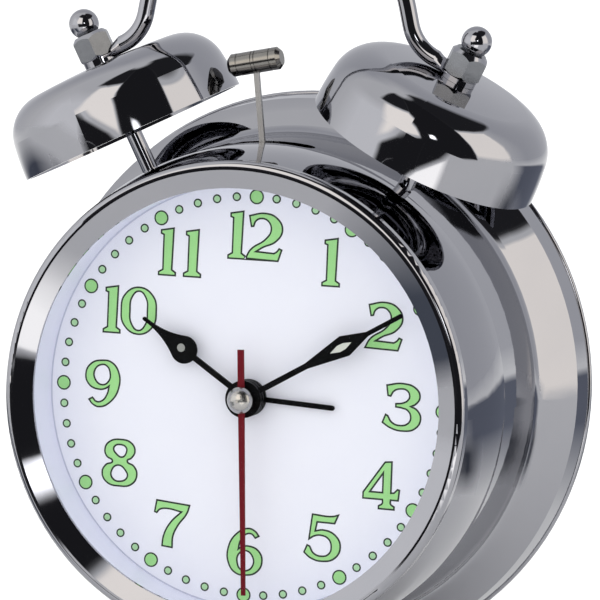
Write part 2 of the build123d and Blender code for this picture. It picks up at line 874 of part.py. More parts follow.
def plate_outline():
    height = plate_top_z - plate_bottom_z
    middle = (plate_top_z + plate_bottom_z) / 2
    return Pos(0, middle) * RectangleRounded(2 * plate_half_width, height, plate_corner_r)


def make_front_plate():
    height = front_plate_top_z - plate_bottom_z
    outline = Pos(0, plate_bottom_z + height / 2) * Rectangle(2 * plate_half_width, height)
    outline = outline & Circle(front_plate_r)
    plate = slab(outline, front_plate_y, front_plate_back_y)
    for side in (-1, 1):
        for z in (dial_boss_low_z, dial_boss_high_z):
            plate = plate + rod((side * dial_boss_x, z), dial_boss_r, dial_back_y, front_plate_y)
    through = (front_plate_y - cut_over, front_plate_back_y + cut_over)
    plate = plate - rod(centre, alarm_pipe_r + running_gap, *through)
    plate = plate - rod((0, hammer_pivot_z), pivot_pin_r + seat_gap, *through)
    for place in (time_set_place, alarm_set_place):
        plate = plate - rod(place, pivot_r + running_gap, *through)
    return plate


def make_middle_plate():
    through = (middle_plate_y - cut_over, middle_plate_back_y + cut_over)
    plate = slab(plate_outline(), middle_plate_y, middle_plate_back_y)
    plate = plate - rod(centre, minute_pipe_r + running_gap, *through)
    for place in (third_place, rotor_place):
        plate = plate - rod(place, pivot_r + running_gap, *through)
    for place in (time_set_place, alarm_set_place):
        plate = plate - rod(place, set_shaft_r + running_gap, *through)
    for place in pillar_places():
        plate = plate - rod(place, plate_screw_r + seat_gap, *through)
    return plate + rod(motion_place, stud_r, hour_layer_y, middle_plate_y)


def make_rear_plate():
    through = (rear_plate_y - cut_over, rear_plate_back_y + cut_over)
    plate = slab(plate_outline(), rear_plate_y, rear_plate_back_y)
    plate = plate - rod(centre, arbor_r + running_gap, *through)
    for place in (third_place, rotor_place):
        plate = plate - rod(place, pivot_r + running_gap, *through)
    for place in (time_set_place, alarm_set_place):
        plate = plate - rod(place, set_shaft_r + running_gap, *through)
    for place in pillar_places():
        plate = plate - rod(place, plate_screw_r + seat_gap, *through)
    return plate + rod(step_place, pivot_r, second_layer_y, rear_plate_y)


def make_pillars():
    pillars = []
    for place in pillar_places():
        for y_front, y_back in ((front_plate_back_y, middle_plate_y), (middle_plate_back_y, rear_plate_y)):
            sleeve = rod(place, pillar_r, y_front, y_back)
            pillars.append(bored(sleeve, place, plate_screw_r + seat_gap, y_front, y_back))
    return pillars


def make_plate_screws():
    screws = []
    for place in pillar_places():
        screw = rod(place, plate_screw_r, front_plate_back_y, rear_plate_back_y)
        head = rod(place, plate_screw_head_r, rear_plate_back_y, rear_plate_back_y + plate_screw_head)
        screws.append(screw + head)
    return screws


def hand_y(order):
    return hand_first_y - order * hand_pitch


def pipe_end(order):
    return hand_y(order) - hand_hub


def bored(body, place, radius, y_front, y_back):
    return body - rod(place, radius, y_front - cut_over, y_back + cut_over)


def make_second_wheel():
    step_module = pair_module(step_distance, second_tooth_count, step_pinion_tooth_count)
    third_module = pair_module(third_distance, third_tooth_count, second_pinion_tooth_count)
    body = rod(centre, arbor_r, pipe_end(3), rear_plate_y + plate_thickness / 2)
    body = body + wheel(centre, second_tooth_count, step_module, step_angle, second_layer_y)
    return body + wheel(centre, second_pinion_tooth_count, third_module, third_angle, third_layer_y)


def make_minute_wheel():
    module = pair_module(third_distance, minute_tooth_count, third_pinion_tooth_count)
    back = minute_layer_y + gear_width
    body = rod(centre, minute_pipe_r, pipe_end(2), back)
    body = body + wheel(centre, minute_tooth_count, module, third_angle, minute_layer_y)
    return bored(body, centre, minute_bore_r, pipe_end(2), back)


def make_cannon_pinion():
    module = pair_module(motion_distance, cannon_tooth_count, motion_tooth_count)
    body = wheel(centre, cannon_tooth_count, module, motion_angle, motion_layer_y)
    return bored(body, centre, minute_pipe_r + seat_gap, motion_layer_y, motion_layer_y + gear_width)


def make_hour_wheel():
    module = pair_module(motion_distance, hour_tooth_count, motion_pinion_tooth_count)
    back = hour_layer_y + gear_width
    body = rod(centre, hour_pipe_r, pipe_end(1), back)
    body = body + wheel(centre, hour_tooth_count, module, motion_angle, hour_layer_y)
    return bored(body, centre, hour_bore_r, pipe_end(1), back)


def make_alarm_wheel():
    module = pair_module(alarm_set_distance, alarm_tooth_count, alarm_set_tooth_count)
    back = alarm_layer_y + gear_width
    body = rod(centre, alarm_pipe_r, pipe_end(0), back)
    body = body + wheel(centre, alarm_tooth_count, module, alarm_set_angle, alarm_layer_y)
    return bored(body, centre, alarm_bore_r, pipe_end(0), back)


def motion_phase():
    return mesh_phase(motion_angle, cannon_tooth_count, motion_tooth_count, motion_angle)


def make_motion_wheel():
    wheel_module = pair_module(motion_distance, cannon_tooth_count, motion_tooth_count)
    pinion_module = pair_module(motion_distance, hour_tooth_count, motion_pinion_tooth_count)
    back = motion_layer_y + gear_width
    pinion_phase = mesh_phase(motion_angle, hour_tooth_count, motion_pinion_tooth_count, motion_angle)
    body = wheel(motion_place, motion_tooth_count, wheel_module, motion_phase(), motion_layer_y)
    pinion = gear(motion_pinion_tooth_count, pinion_module, pinion_phase)
    body = body + slab(Pos(*motion_place) * pinion, hour_layer_y, motion_layer_y)
    return bored(body, motion_place, stud_r + running_gap, hour_layer_y, back)


def make_third_wheel():
    wheel_module = pair_module(third_distance, third_tooth_count, second_pinion_tooth_count)
    pinion_module = pair_module(third_distance, minute_tooth_count, third_pinion_tooth_count)
    wheel_phase = mesh_phase(third_angle, second_pinion_tooth_count, third_tooth_count, third_angle)
    pinion_phase = mesh_phase(third_angle, minute_tooth_count, third_pinion_tooth_count, third_angle)
    body = wheel(third_place, third_tooth_count, wheel_module, wheel_phase, third_layer_y)
    pinion = gear(third_pinion_tooth_count, pinion_module, pinion_phase)
    body = body + slab(Pos(*third_place) * pinion, minute_layer_y, third_layer_y)
    return body + arbor(third_place)


def arbor(place):
    return rod(place, pivot_r, middle_plate_y + plate_thickness / 2, rear_plate_y + plate_thickness / 2)


def step_pinion_phase():
    return mesh_phase(step_angle, second_tooth_count, step_pinion_tooth_count, step_angle)


def make_step_wheel():
    wheel_module = pair_module(rotor_distance, step_tooth_count, rotor_pinion_tooth_count)
    pinion_module = pair_module(step_distance, second_tooth_count, step_pinion_tooth_count)
    body = wheel(step_place, step_tooth_count, wheel_module, rotor_angle, step_layer_y)
    pinion = gear(step_pinion_tooth_count, pinion_module, step_pinion_phase())
    body = body + slab(Pos(*step_place) * pinion, second_layer_y, step_layer_y)
    return bored(body, step_place, pivot_r + running_gap, second_layer_y, step_layer_y + gear_width)


def make_rotor_pinion():
    module = pair_module(rotor_distance, step_tooth_count, rotor_pinion_tooth_count)
    phase = mesh_phase(rotor_angle, step_tooth_count, rotor_pinion_tooth_count, rotor_angle)
    return wheel(rotor_place, rotor_pinion_tooth_count, module, phase, step_layer_y) + arbor(rotor_place)


def make_rotor_magnet():
    back = rotor_y + rotor_length
    return bored(rod(rotor_place, rotor_r, rotor_y, back), rotor_place, pivot_r + seat_gap, rotor_y, back)


def coil_place():
    return (rotor_place[0] + stator_reach, rotor_place[1])


def make_stator():
    # A laminated yoke: two arms run from round the rotor to the ends of the coil.
    front = rotor_y + (rotor_length - stator_thickness) / 2
    coil_x, coil_z = coil_place()
    rail_length = coil_x - rotor_place[0] + stator_width / 2
    rail_x = rotor_place[0] + rail_length / 2 - stator_width / 4
    body = Pos(*rotor_place) * Circle(rotor_r + rotor_gap + stator_width / 4)
    for side in (-1, 1):
        arm_z = coil_z + side * stator_rise
        riser = Rectangle(stator_width / 2, stator_rise)
        rail = Rectangle(rail_length, coil_core_width)
        body = body + Pos(rotor_place[0], coil_z + side * stator_rise / 2) * riser + Pos(rail_x, arm_z) * rail
    body = body - Pos(*rotor_place) * Circle(rotor_r + rotor_gap)
    return slab(body, front, front + stator_thickness)


def coil_frame():
    coil_x, coil_z = coil_place()
    middle = rotor_y + rotor_length / 2
    return Pos(coil_x, middle, coil_z)


def make_coil_core():
    length = 2 * stator_rise - coil_core_width - 2 * seat_gap
    return coil_frame() * Box(coil_core_width, stator_thickness, length)


def make_coil_bobbin():
    core = hypot(coil_core_width, stator_thickness) / 2 + seat_gap
    tube_r = core + coil_flange
    body = Cylinder(tube_r, coil_length)
    for side in (-1, 1):
        body = body + Pos(0, 0, side * (coil_length - coil_flange) / 2) * Cylinder(coil_flange_r, coil_flange)
    hole = Box(coil_core_width + 2 * seat_gap, stator_thickness + 2 * seat_gap, coil_length + cut_over)
    return coil_frame() * (body - hole) & coil_clearance()


def coil_clearance():
    # The coil's flanges are cut flat where they lie against the rear plate.
    depth = rear_plate_y - middle_plate_back_y - 2 * seat_gap
    x, z = coil_place()
    middle = (rear_plate_y + middle_plate_back_y) / 2
    return Pos(x, middle, z) * Box(2 * coil_flange_r, depth, 2 * stator_rise)


def make_coil_winding():
    core = hypot(coil_core_width, stator_thickness) / 2 + seat_gap
    length = coil_length - 2 * coil_flange - 2 * seat_gap
    winding = Cylinder(coil_r, length) - Cylinder(core + coil_flange + seat_gap, length)
    return coil_frame() * winding & coil_clearance()


def make_board():
    plate = Pos(board_x, board_z) * Rectangle(board_width, board_height)
    return slab(plate, rear_plate_back_y, rear_plate_back_y + board_thickness)


def make_chip():
    place = (board_x + board_width * chip_x_share, board_z + board_height * chip_z_share)
    face = rear_plate_back_y + board_thickness
    return rod(place, chip_r, face, face + chip_height)


def make_crystal():
    face = rear_plate_back_y + board_thickness
    place = Pos(board_x + board_width * crystal_x_share, face + crystal_r, board_z)
    return place * Cylinder(crystal_r, crystal_length)


# Hands


def hand(outline, order, angle, bore_r, hub_r=hand_hub_r):
    # Outlines are drawn pointing to twelve and then turned clockwise.
    back = hand_y(order)
    blade_front = back - (hand_hub + hand_thickness) / 2
    blade = slab(outline, blade_front, blade_front + hand_thickness)
    body = blade + rod(centre, hub_r, back - hand_hub, back)
    body = bored(body, centre, bore_r + seat_gap, back - hand_hub, back)
    return Rot(0, angle, 0) * body


def bar(width, start, end):
    return Pos(0, (start + end) / 2) * Rectangle(width, end - start)


def make_alarm_hand():
    outline = bar(alarm_hand_width, 0, alarm_hand_length - alarm_hand_width / 2)
    outline = outline + Pos(0, alarm_hand_length - alarm_hand_width / 2) * Circle(alarm_hand_width / 2)
    return hand(outline, 0, alarm_hand_angle, alarm_pipe_r)


def make_hour_hand():
    reach = hour_hand_length - hour_body_at
    tip = hour_tip_width / 2
    flank = hour_body_r * hour_flank_share
    flank_at = hour_body_at + hour_body_r * sqrt(1 - hour_flank_share ** 2)
    waist_at = hour_body_at + reach * hour_waist_share
    waist = hour_tip_width * hour_waist_width_share
    right = Spline((flank, flank_at), (waist, waist_at), (tip, hour_hand_length - tip))
    left = Spline((-tip, hour_hand_length - tip), (-waist, waist_at), (-flank, flank_at))
    drop = make_face([right, Line((tip, hour_hand_length - tip), (-tip, hour_hand_length - tip)), left,
                      Line((-flank, flank_at), (flank, flank_at))])
    outline = bar(hour_stem_width, 0, hour_body_at) + Pos(0, hour_body_at) * Circle(hour_body_r) + drop
    outline = outline + Pos(0, hour_hand_length - tip) * Circle(tip)
    return hand(outline, 1, hour_hand_angle, hour_pipe_r)


def make_minute_hand():
    wide = minute_body_width / 2
    stem = minute_stem_width / 2
    tip = minute_tip_width / 2
    end = minute_hand_length - tip
    start, widest, narrow = (minute_hand_length * share for share in minute_body_shares.values())
    side = [(stem, start), (wide, widest), (tip, narrow), (tip, end)]
    blade = Polygon(*side, *[(-x, y) for x, y in reversed(side)], align=None)
    outline = bar(minute_stem_width, 0, start) + blade + Pos(0, end) * Circle(tip)
    return hand(outline, 2, minute_hand_angle, minute_pipe_r)


def make_second_hand():
    root = second_root_width / 2
    tip = second_tip_width / 2
    outline = Polygon((-root, -second_hand_tail), (root, -second_hand_tail), (root, 0),
                      (tip, second_hand_length), (-tip, second_hand_length), (-root, 0), align=None)
    return hand(outline, 3, second_hand_angle, arbor_r, second_hub_r)


def make_cap():
    back = pipe_end(3) - seat_gap
    dome = cap_height - cap_edge
    dome_r = (cap_r ** 2 + dome ** 2) / (2 * dome)
    top_y = back - cap_height
    half_turn = atan2(cap_r, dome_r - dome) / 2
    middle = (dome_r * sin(half_turn), top_y + dome_r * (1 - cos(half_turn)))
    edges = [
        Polyline((0, top_y), (0, back), (cap_r, back), (cap_r, back - cap_edge)),
        ThreePointArc((cap_r, back - cap_edge), middle, (0, top_y)),
    ]
    return turned(edges)


# Back cover and what is worked from behind


def cover_r():
    return flare_r - case_wall - air_gap


def cover_screw_places():
    ring_r = cover_r() - cover_rim_width - cover_screw_head_r - air_gap
    step = 360 / cover_screw_count
    return [polar(ring_r, cover_screw_turn + index * step) for index in range(cover_screw_count)]


def box_half_width():
    return battery_length / 2 + battery_nub + contact_thickness + box_play


def box_half_height():
    return battery_r + box_play


def box_front_y():
    return battery_y - battery_r - box_play


def door_edges():
    # Low edge is the hinge line, high edge is the thumb notch.
    low = battery_z - box_half_height() - door_margin
    high = battery_z + box_half_height() + door_margin
    return low, high


def door_half_width():
    return box_half_width() - door_margin


def make_cover():
    plate = slab(Circle(cover_r()), cover_y, cover_back_y)
    rim = Circle(cover_r()) - Circle(cover_r() - cover_rim_width)
    plate = plate + slab(rim, cover_back_y, cover_back_y + cover_rim_height)
    half_width = box_half_width() + box_wall
    half_height = box_half_height() + box_wall
    outer = Pos(0, battery_z) * Rectangle(2 * half_width, 2 * half_height)
    inner = Pos(0, battery_z) * Rectangle(2 * box_half_width(), 2 * box_half_height())
    plate = plate + slab(outer, box_front_y() - box_wall, cover_y) - slab(inner, box_front_y(), cover_y)
    for place in pillar_places():
        boss = rod(place, boss_r, rear_plate_back_y, cover_y)
        plate = plate + boss - rod(place, plate_screw_head_r + air_gap, rear_plate_back_y - cut_over, cover_y)
    low, high = door_edges()
    mouth = Rectangle(2 * door_half_width() + 2 * air_gap, high - low + 2 * air_gap)
    plate = plate - slab(Pos(0, (low + high) / 2) * mouth, cover_y, cover_back_y + cut_over)
    hinge = Pos(0, door_hinge_y(), low + door_hinge_r) * (Rot(0, 90, 0) * Cylinder(
        door_pin_r + running_gap, 2 * (door_half_width() + door_pin_length + air_gap)))
    plate = plate - hinge
    for place in (time_set_place, alarm_set_place):
        plate = plate - rod(place, set_shaft_r + running_gap, cover_y - cut_over, cover_back_y + cut_over)
    gap = 2 * switch_slot_gap
    slot = Pos(0, switch_z) * Rectangle(switch_grip_width + 2 * switch_travel + gap, switch_grip_height + gap)
    plate = plate - slab(slot, cover_y - cut_over, cover_back_y + cut_over)
    for place in cover_screw_places():
        plate = plate - rod(place, cover_screw_r + seat_gap, cover_y - cut_over, cover_back_y + cut_over)
    return plate


def door_hinge_y():
    return cover_y + cover_thickness / 2


def make_door():
    low, high = door_edges()
    axis_z = low + door_hinge_r
    half = door_half_width()
    panel = Pos(0, (axis_z + high) / 2) * Rectangle(2 * half, high - axis_z)
    half_thick = door_hinge_r
    body = slab(panel, door_hinge_y() - half_thick, door_hinge_y() + half_thick)
    barrel = Rot(0, 90, 0) * Cylinder(door_hinge_r, 2 * half)
    pin = Rot(0, 90, 0) * Cylinder(door_pin_r, 2 * (half + door_pin_length))
    body = body + Pos(0, door_hinge_y(), axis_z) * (barrel + pin)
    notch = Pos(0, high - door_notch_depth) * SlotOverall(door_notch_width, door_notch_depth)
    sink = 2 * door_hinge_r * door_notch_sink_share
    top = door_hinge_y() + half_thick
    return body - slab(notch, top - sink, top + cut_over)


def make_battery():
    cell = Cylinder(battery_r, battery_length)
    nub = Pos(0, 0, (battery_length + battery_nub) / 2) * Cylinder(battery_nub_r, battery_nub)
    return Pos(0, battery_y, battery_z) * (Rot(0, 90, 0) * (cell + nub))


def make_contact(side):
    # The negative leaf has a pressed cone that reaches the battery's flat end.
    wall = box_half_width() - contact_thickness / 2
    leaf = Pos(side * wall, battery_y, battery_z) * Box(contact_thickness, contact_size, contact_size)
    if side < 0:
        reach = box_half_width() - contact_thickness - battery_length / 2
        middle = box_half_width() - contact_thickness - reach / 2
        cone = Cone(battery_nub_r, battery_nub_r / 2, reach)
        leaf = leaf + Pos(-middle, battery_y, battery_z) * (Rot(0, 90, 0) * cone)
    return leaf


def make_cover_screws():
    screws = []
    for place in cover_screw_places():
        screw = rod(place, cover_screw_r, cover_back_y - cover_screw_length, cover_back_y)
        screws.append(screw + rod(place, cover_screw_head_r, cover_back_y, cover_back_y + cover_screw_head))
    return screws


def make_set_shaft(place, tooth_count, module, phase, layer_y):
    knob_y = cover_back_y + knob_gap
    body = wheel(place, tooth_count, module, phase, layer_y)
    body = body + rod(place, set_shaft_r, layer_y, knob_y + knob_socket_depth)
    return body + rod(place, pivot_r, front_plate_y + front_plate_thickness / 2, layer_y)


def make_time_shaft():
    module = pair_module(motion_distance, cannon_tooth_count, motion_tooth_count)
    phase = mesh_phase(motion_phase(), motion_tooth_count, time_set_tooth_count, time_set_angle)
    return make_set_shaft(time_set_place, time_set_tooth_count, module, phase, motion_layer_y)


def make_alarm_shaft():
    module = pair_module(alarm_set_distance, alarm_tooth_count, alarm_set_tooth_count)
    phase = mesh_phase(alarm_set_angle, alarm_tooth_count, alarm_set_tooth_count, alarm_set_angle)
    return make_set_shaft(alarm_set_place, alarm_set_tooth_count, module, phase, alarm_layer_y)


def make_knob(place):
    front = cover_back_y + knob_gap
    outline = Circle(knob_r)
    for index in range(knob_grip_count):
        groove = polar(knob_r, index * 360 / knob_grip_count)
        outline = outline - Pos(*groove) * Circle(knob_grip)
    body = slab(Pos(*place) * outline, front, front + knob_height)
    return body - rod(place, set_shaft_r + seat_gap, front - cut_over, front + knob_socket_depth + seat_gap)


def make_switch():
    top = cover_back_y + switch_grip_stand
    flange_back = cover_y - switch_slot_gap
    grip = slab(Pos(0, switch_z) * Rectangle(switch_grip_width, switch_grip_height), flange_back, top)
    for index in range(switch_rib_count):
        x = (index - (switch_rib_count - 1) / 2) * switch_grip_width / switch_rib_count
        rib = Pos(x, switch_z) * Rectangle(switch_rib, switch_grip_height)
        grip = grip + slab(rib, top, top + switch_rib)
    over = 2 * switch_flange_over
    flange = Pos(0, switch_z) * Rectangle(switch_grip_width + over, switch_grip_height + over)
    body = grip + slab(flange, flange_back - switch_flange, flange_back)
    return Pos(-switch_travel, 0, 0) * body


def make_switch_base():
    # A tray behind the cover that keeps the slider in its slot
    half = switch_grip_width / 2 + switch_flange_over + switch_travel + air_gap
    height = switch_grip_height + 2 * switch_flange_over
    back = cover_y - 2 * switch_slot_gap - switch_flange
    tray = Pos(0, switch_z) * Rectangle(2 * (half + switch_post), height)
    base = slab(tray, back - switch_base_depth, back)
    for side in (-1, 1):
        post = Pos(side * (half + switch_post / 2), switch_z) * Rectangle(switch_post, height)
        base = base + slab(post, back, cover_y)
    return base


# Assembly

pieces = {
    "case_shell": make_case(),
    "front_bezel": make_bezel(),
    "lens": make_lens(),
    "dial_ring": make_dial_ring(),
    "dial": make_dial(),
    "left_bell": make_bell(-1),
    "right_bell": make_bell(1),
    "bell_posts": make_posts(),
    "post_base_nuts": make_base_nuts(),
    "ball_nuts": make_ball_nuts(),
    "carry_handle": make_handle(),
    "foot_screws": make_foot_screws(),
    "hammer_head": make_hammer_head(),
    "hammer_arm": make_hammer_arm(),
    "hammer_pivot_pin": make_pivot_pin(),
    "alarm_bracket": make_bracket(),
    "crank_gear": make_crank_gear(),
    "motor_pinion": make_motor_pinion(),
    "alarm_motor": make_motor(),
    "movement_front_plate": make_front_plate(),
    "movement_middle_plate": make_middle_plate(),
    "movement_rear_plate": make_rear_plate(),
    "plate_pillars": make_pillars(),
    "plate_screws": make_plate_screws(),
    "second_wheel": make_second_wheel(),
    "minute_wheel": make_minute_wheel(),
    "cannon_pinion": make_cannon_pinion(),
    "hour_wheel": make_hour_wheel(),
    "alarm_wheel": make_alarm_wheel(),
    "motion_wheel": make_motion_wheel(),
    "third_wheel": make_third_wheel(),
    "step_wheel": make_step_wheel(),
    "rotor_pinion": make_rotor_pinion(),
    "rotor_magnet": make_rotor_magnet(),
    "stator": make_stator(),
    "coil_core": make_coil_core(),
    "coil_bobbin": make_coil_bobbin(),
    "coil_winding": make_coil_winding(),
    "circuit_board": make_board(),
    "clock_chip": make_chip(),
    "quartz_crystal": make_crystal(),
    "alarm_hand": make_alarm_hand(),
    "hour_hand": make_hour_hand(),
    "minute_hand": make_minute_hand(),
    "second_hand": make_second_hand(),
    "second_hand_cap": make_cap(),
    "back_cover": make_cover(),
    "back_cover_screws": make_cover_screws(),
    "battery_door": make_door(),
    "battery": make_battery(),
    "battery_contact_plus": make_contact(1),
    "battery_contact_minus": make_contact(-1),
    "time_set_shaft": make_time_shaft(),
    "time_set_knob": make_knob(time_set_place),
    "alarm_set_shaft": make_alarm_shaft(),
    "alarm_set_knob": make_knob(alarm_set_place),
    "alarm_switch": make_switch(),
    "alarm_switch_base": make_switch_base(),
}
pieces["left_foot"], pieces["right_foot"] = make_feet()


def as_one(piece):
    return Compound(piece) if isinstance(piece, list) else piece


leaned = {name: Rot(-lean_back, 0, 0) * as_one(piece) for name, piece in pieces.items()}
boxes = [piece.bounding_box() for piece in leaned.values()]
front = min(box.min.Y for box in boxes)
back = max(box.max.Y for box in boxes)
floor = min(box.min.Z for box in boxes)
stand_up = Pos(0, -(front + back) / 2, -floor)

os.makedirs("parts", exist_ok=True)
for name, piece in leaned.items():
    export_step(stand_up * piece, f"parts/{name}.step")
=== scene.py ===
import json
import math

import bpy
from mathutils import Matrix, Vector


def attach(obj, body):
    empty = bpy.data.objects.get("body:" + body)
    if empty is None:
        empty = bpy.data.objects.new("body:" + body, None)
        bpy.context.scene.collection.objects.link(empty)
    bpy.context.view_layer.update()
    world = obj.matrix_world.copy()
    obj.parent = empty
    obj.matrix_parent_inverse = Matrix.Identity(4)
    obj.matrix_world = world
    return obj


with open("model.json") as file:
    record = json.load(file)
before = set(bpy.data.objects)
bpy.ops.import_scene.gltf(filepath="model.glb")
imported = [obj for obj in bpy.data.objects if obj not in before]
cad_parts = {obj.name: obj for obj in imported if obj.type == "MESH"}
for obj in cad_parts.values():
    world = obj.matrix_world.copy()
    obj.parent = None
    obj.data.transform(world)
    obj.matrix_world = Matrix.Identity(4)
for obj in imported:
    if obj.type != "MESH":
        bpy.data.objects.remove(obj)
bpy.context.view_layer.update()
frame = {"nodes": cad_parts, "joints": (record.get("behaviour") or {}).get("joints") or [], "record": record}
print("frame loaded", len(frame["nodes"]), "nodes")

mm = 0.001
body = "clock_body"


# The clock's own frame: the origin is the dial's centre on its front face, X is to the
# right, Y goes to the back and Z up the dial. Lengths in it are in millimetres.
stance = {"leanDeg": 6.2, "secondJointDepth": 13.9}
secondJoint = next(j for j in frame["joints"] if j["name"] == "second_turn")
turnAxis = Vector(secondJoint["axis"]).normalized()
dialCentre = Vector(secondJoint["pos_m"]) - turnAxis * stance["secondJointDepth"] * mm
clockTurn = Matrix.Rotation(-math.radians(stance["leanDeg"]), 4, "X")
clockFrame = Matrix.Translation(dialCentre) @ clockTurn @ Matrix.Scale(mm, 4)


def linear(hexText):
    out = []
    for start in (0, 2, 4):
        c = int(hexText[start:start + 2], 16) / 255
        out.append(c / 12.92 if c <= 0.04045 else ((c + 0.055) / 1.055) ** 2.4)
    return (*out, 1.0)


def addNode(tree, kind, settings=None, links=None):
    node = tree.nodes.new(kind)
    for key, value in (settings or {}).items():
        if key in node.inputs:
            node.inputs[key].default_value = value
        else:
            setattr(node, key, value)
    for key, source in (links or {}).items():
        tree.links.new(source, node.inputs[key])
    return node


noiseDetail = {"patches": 3.0, "grain": 4.0}


def finish(name, colour, second, rough, patchMm, metal=0.0, grainMm=None, **sockets):
    # Two close tones and two roughnesses share one pattern of soft patches, over a fine grain that is
    # given as its depth and width in mm.
    material = bpy.data.materials.new(name)
    material.use_nodes = True
    tree = material.node_tree
    shader = tree.nodes["Principled BSDF"]
    shader.inputs["Metallic"].default_value = metal
    for key, value in sockets.items():
        shader.inputs[key].default_value = value
    where = addNode(tree, "ShaderNodeTexCoord")
    # Coordinates are in metres, so a pattern of one size in mm needs a scale of 1000 / size.
    patches = addNode(tree, "ShaderNodeTexNoise", {"Scale": 1000 / patchMm, "Detail": noiseDetail["patches"]},
                      {"Vector": where.outputs["Object"]})
    tone = addNode(tree, "ShaderNodeValToRGB", None, {"Fac": patches.outputs["Fac"]})
    tone.color_ramp.elements[0].color = linear(colour)
    tone.color_ramp.elements[1].color = linear(second)
    tree.links.new(tone.outputs["Color"], shader.inputs["Base Color"])
    gloss = addNode(tree, "ShaderNodeMapRange", {"To Min": rough[0], "To Max": rough[1]},
                    {"Value": patches.outputs["Fac"]})
    tree.links.new(gloss.outputs["Result"], shader.inputs["Roughness"])
    if grainMm:
        deep, wide = grainMm
        grain = addNode(tree, "ShaderNodeTexNoise", {"Scale": 1000 / wide, "Detail": noiseDetail["grain"]},
                        {"Vector": where.outputs["Object"]})
        raised = addNode(tree, "ShaderNodeBump", {"Strength": 1.0, "Distance": deep * mm},
                         {"Height": grain.outputs["Fac"]})
        tree.links.new(raised.outputs["Normal"], shader.inputs["Normal"])
    return material


# Polished chrome plate: a cool grey mirror, faintly hazed in soft patches
chromePlate = finish("chromePlate", "9B9CA2", "A3A3A8", rough=(0.02, 0.05), metal=1.0, patchMm=14.0)
# Nickel plate on nuts, handle and posts: warmer and a little softer than the chrome
nickelPlate = finish("nickelPlate", "C0BDB9", "B6B3AF", rough=(0.12, 0.2), metal=1.0, patchMm=3.0)
# Satin nickel on nut faces: a soft grey that mirrors nothing sharply
satinNickel = finish("satinNickel", "828488", "797B7F", rough=(0.2, 0.28),
                     metal=1.0, patchMm=1.5, grainMm=(0.001, 0.15))
# Brushed steel of the hammer's strip: pale and soft, with hardly a mirror image
brushedSteel = finish("brushedSteelStrip", "B6B6B7", "ABABAC", rough=(0.42, 0.52),
                      metal=1.0, patchMm=1.0, grainMm=(0.004, 0.15))
# Satin nickel of the hands' cap: an even, soft shine over the dome
satinCap = finish("satinCapNickel", "B9B7B4", "B5B3B0", rough=(0.24, 0.27), metal=1.0, patchMm=6.0)
# Darker nickel on the hammer: a grey, half-bright turned face
greyNickel = finish("greyNickel", "8E8C88", "7E7C79", rough=(0.12, 0.22),
                    metal=1.0, patchMm=2.0, grainMm=(0.003, 0.2))
# Zinc-plated steel: dull silver with fine speckle
zincPlate = finish("zincPlate", "A6A8AB", "9A9CA0", rough=(0.2, 0.36),
                   metal=1.0, patchMm=2.5, grainMm=(0.004, 0.3))
# Turned brass: warm yellow metal with a soft sheen
brass = finish("turnedBrass", "B89B55", "AD8F4A", rough=(0.19, 0.31), metal=1.0, patchMm=2.0)
# Enamelled copper wire: orange-brown metal, ribbed by its turns
copperWire = finish("enamelledCopper", "B4653A", "A85A31", rough=(0.24, 0.36),
                    metal=1.0, patchMm=1.0, grainMm=(0.02, 0.25))
# Moulded black plastic: soft black with a fine moulded texture
blackPlastic = finish("mouldedBlackPlastic", "1C1D1F", "212224", rough=(0.36, 0.48),
                      patchMm=6.0, grainMm=(0.02, 0.35))
# Moulded white plastic: smooth and slightly cool
whitePlastic = finish("mouldedWhitePlastic", "E6E8F0", "E2E4EE", rough=(0.3, 0.4),
                      patchMm=5.0, grainMm=(0.006, 0.5))
# The ring round the dial: pale lavender plastic
ringPlastic = finish("lavenderRingPlastic", "EDEFFF", "E8EAFC", rough=(0.35, 0.45),
                     patchMm=5.0, grainMm=(0.004, 0.5))
# Matt dial paint: an even white with a hint of blue
dialPaint = finish("mattDialPaint", "F4F6FF", "F0F2FD", rough=(0.5, 0.6),
                   patchMm=6.0, grainMm=(0.001, 0.3))
# Hand paints are thin and nearly matt, so they mirror very little
thinSheen = {"Specular IOR Level": 0.06}
# Black hand paint: near-black with a thin sheen
blackPaint = finish("blackHandPaint", "08090A", "0C0D0F", rough=(0.34, 0.42),
                    patchMm=2.0, grainMm=(0.003, 0.2), **thinSheen)
# Red hand paint: a deep wine red
redPaint = finish("redHandPaint", "6E1822", "66141E", rough=(0.36, 0.44),
                  patchMm=2.0, grainMm=(0.003, 0.2), **thinSheen)
# Luminous ink on numerals and hour dots: fresh pale green with a chalky grain
greenInk = finish("luminousInk", "A4E393", "9DDD8B", rough=(0.65, 0.75),
                  patchMm=1.5, grainMm=(0.008, 0.15))
# Thinner luminous ink on the minute dots: a paler, chalky green
paleInk = finish("thinLuminousInk", "B4E0AE", "ABD9A5", rough=(0.65, 0.75),
                 patchMm=1.5, grainMm=(0.008, 0.15))
# Dark green printing ink: a crisp, matt line round numerals and dots
darkInk = finish("darkGreenInk", "12261A", "172E1F", rough=(0.55, 0.65), patchMm=1.5)
# Painted seam shade: a thin grey-lavender line of painted shade where the dial meets its ring
seamShadePaint = finish("paintedSeamShade", "CDD0E2", "C6CADD", rough=(0.5, 0.6), patchMm=3.0)
# Printed marks on the black back: worn light grey
markInk = finish("lightGreyMarkInk", "B9BBBD", "AEB0B3", rough=(0.55, 0.7), patchMm=1.0)
# Luminous filling of the minute hand: chalky off-white
lumeFilling = finish("lumeFilling", "D3D6CE", "CBCFC6", rough=(0.7, 0.8),
                     patchMm=0.8, grainMm=(0.008, 0.12))
# Thinner filling of the hour hand: chalky grey
greyFilling = finish("greyLumeFilling", "9D9F9B", "939591", rough=(0.7, 0.8),
                     patchMm=0.8, grainMm=(0.008, 0.12))
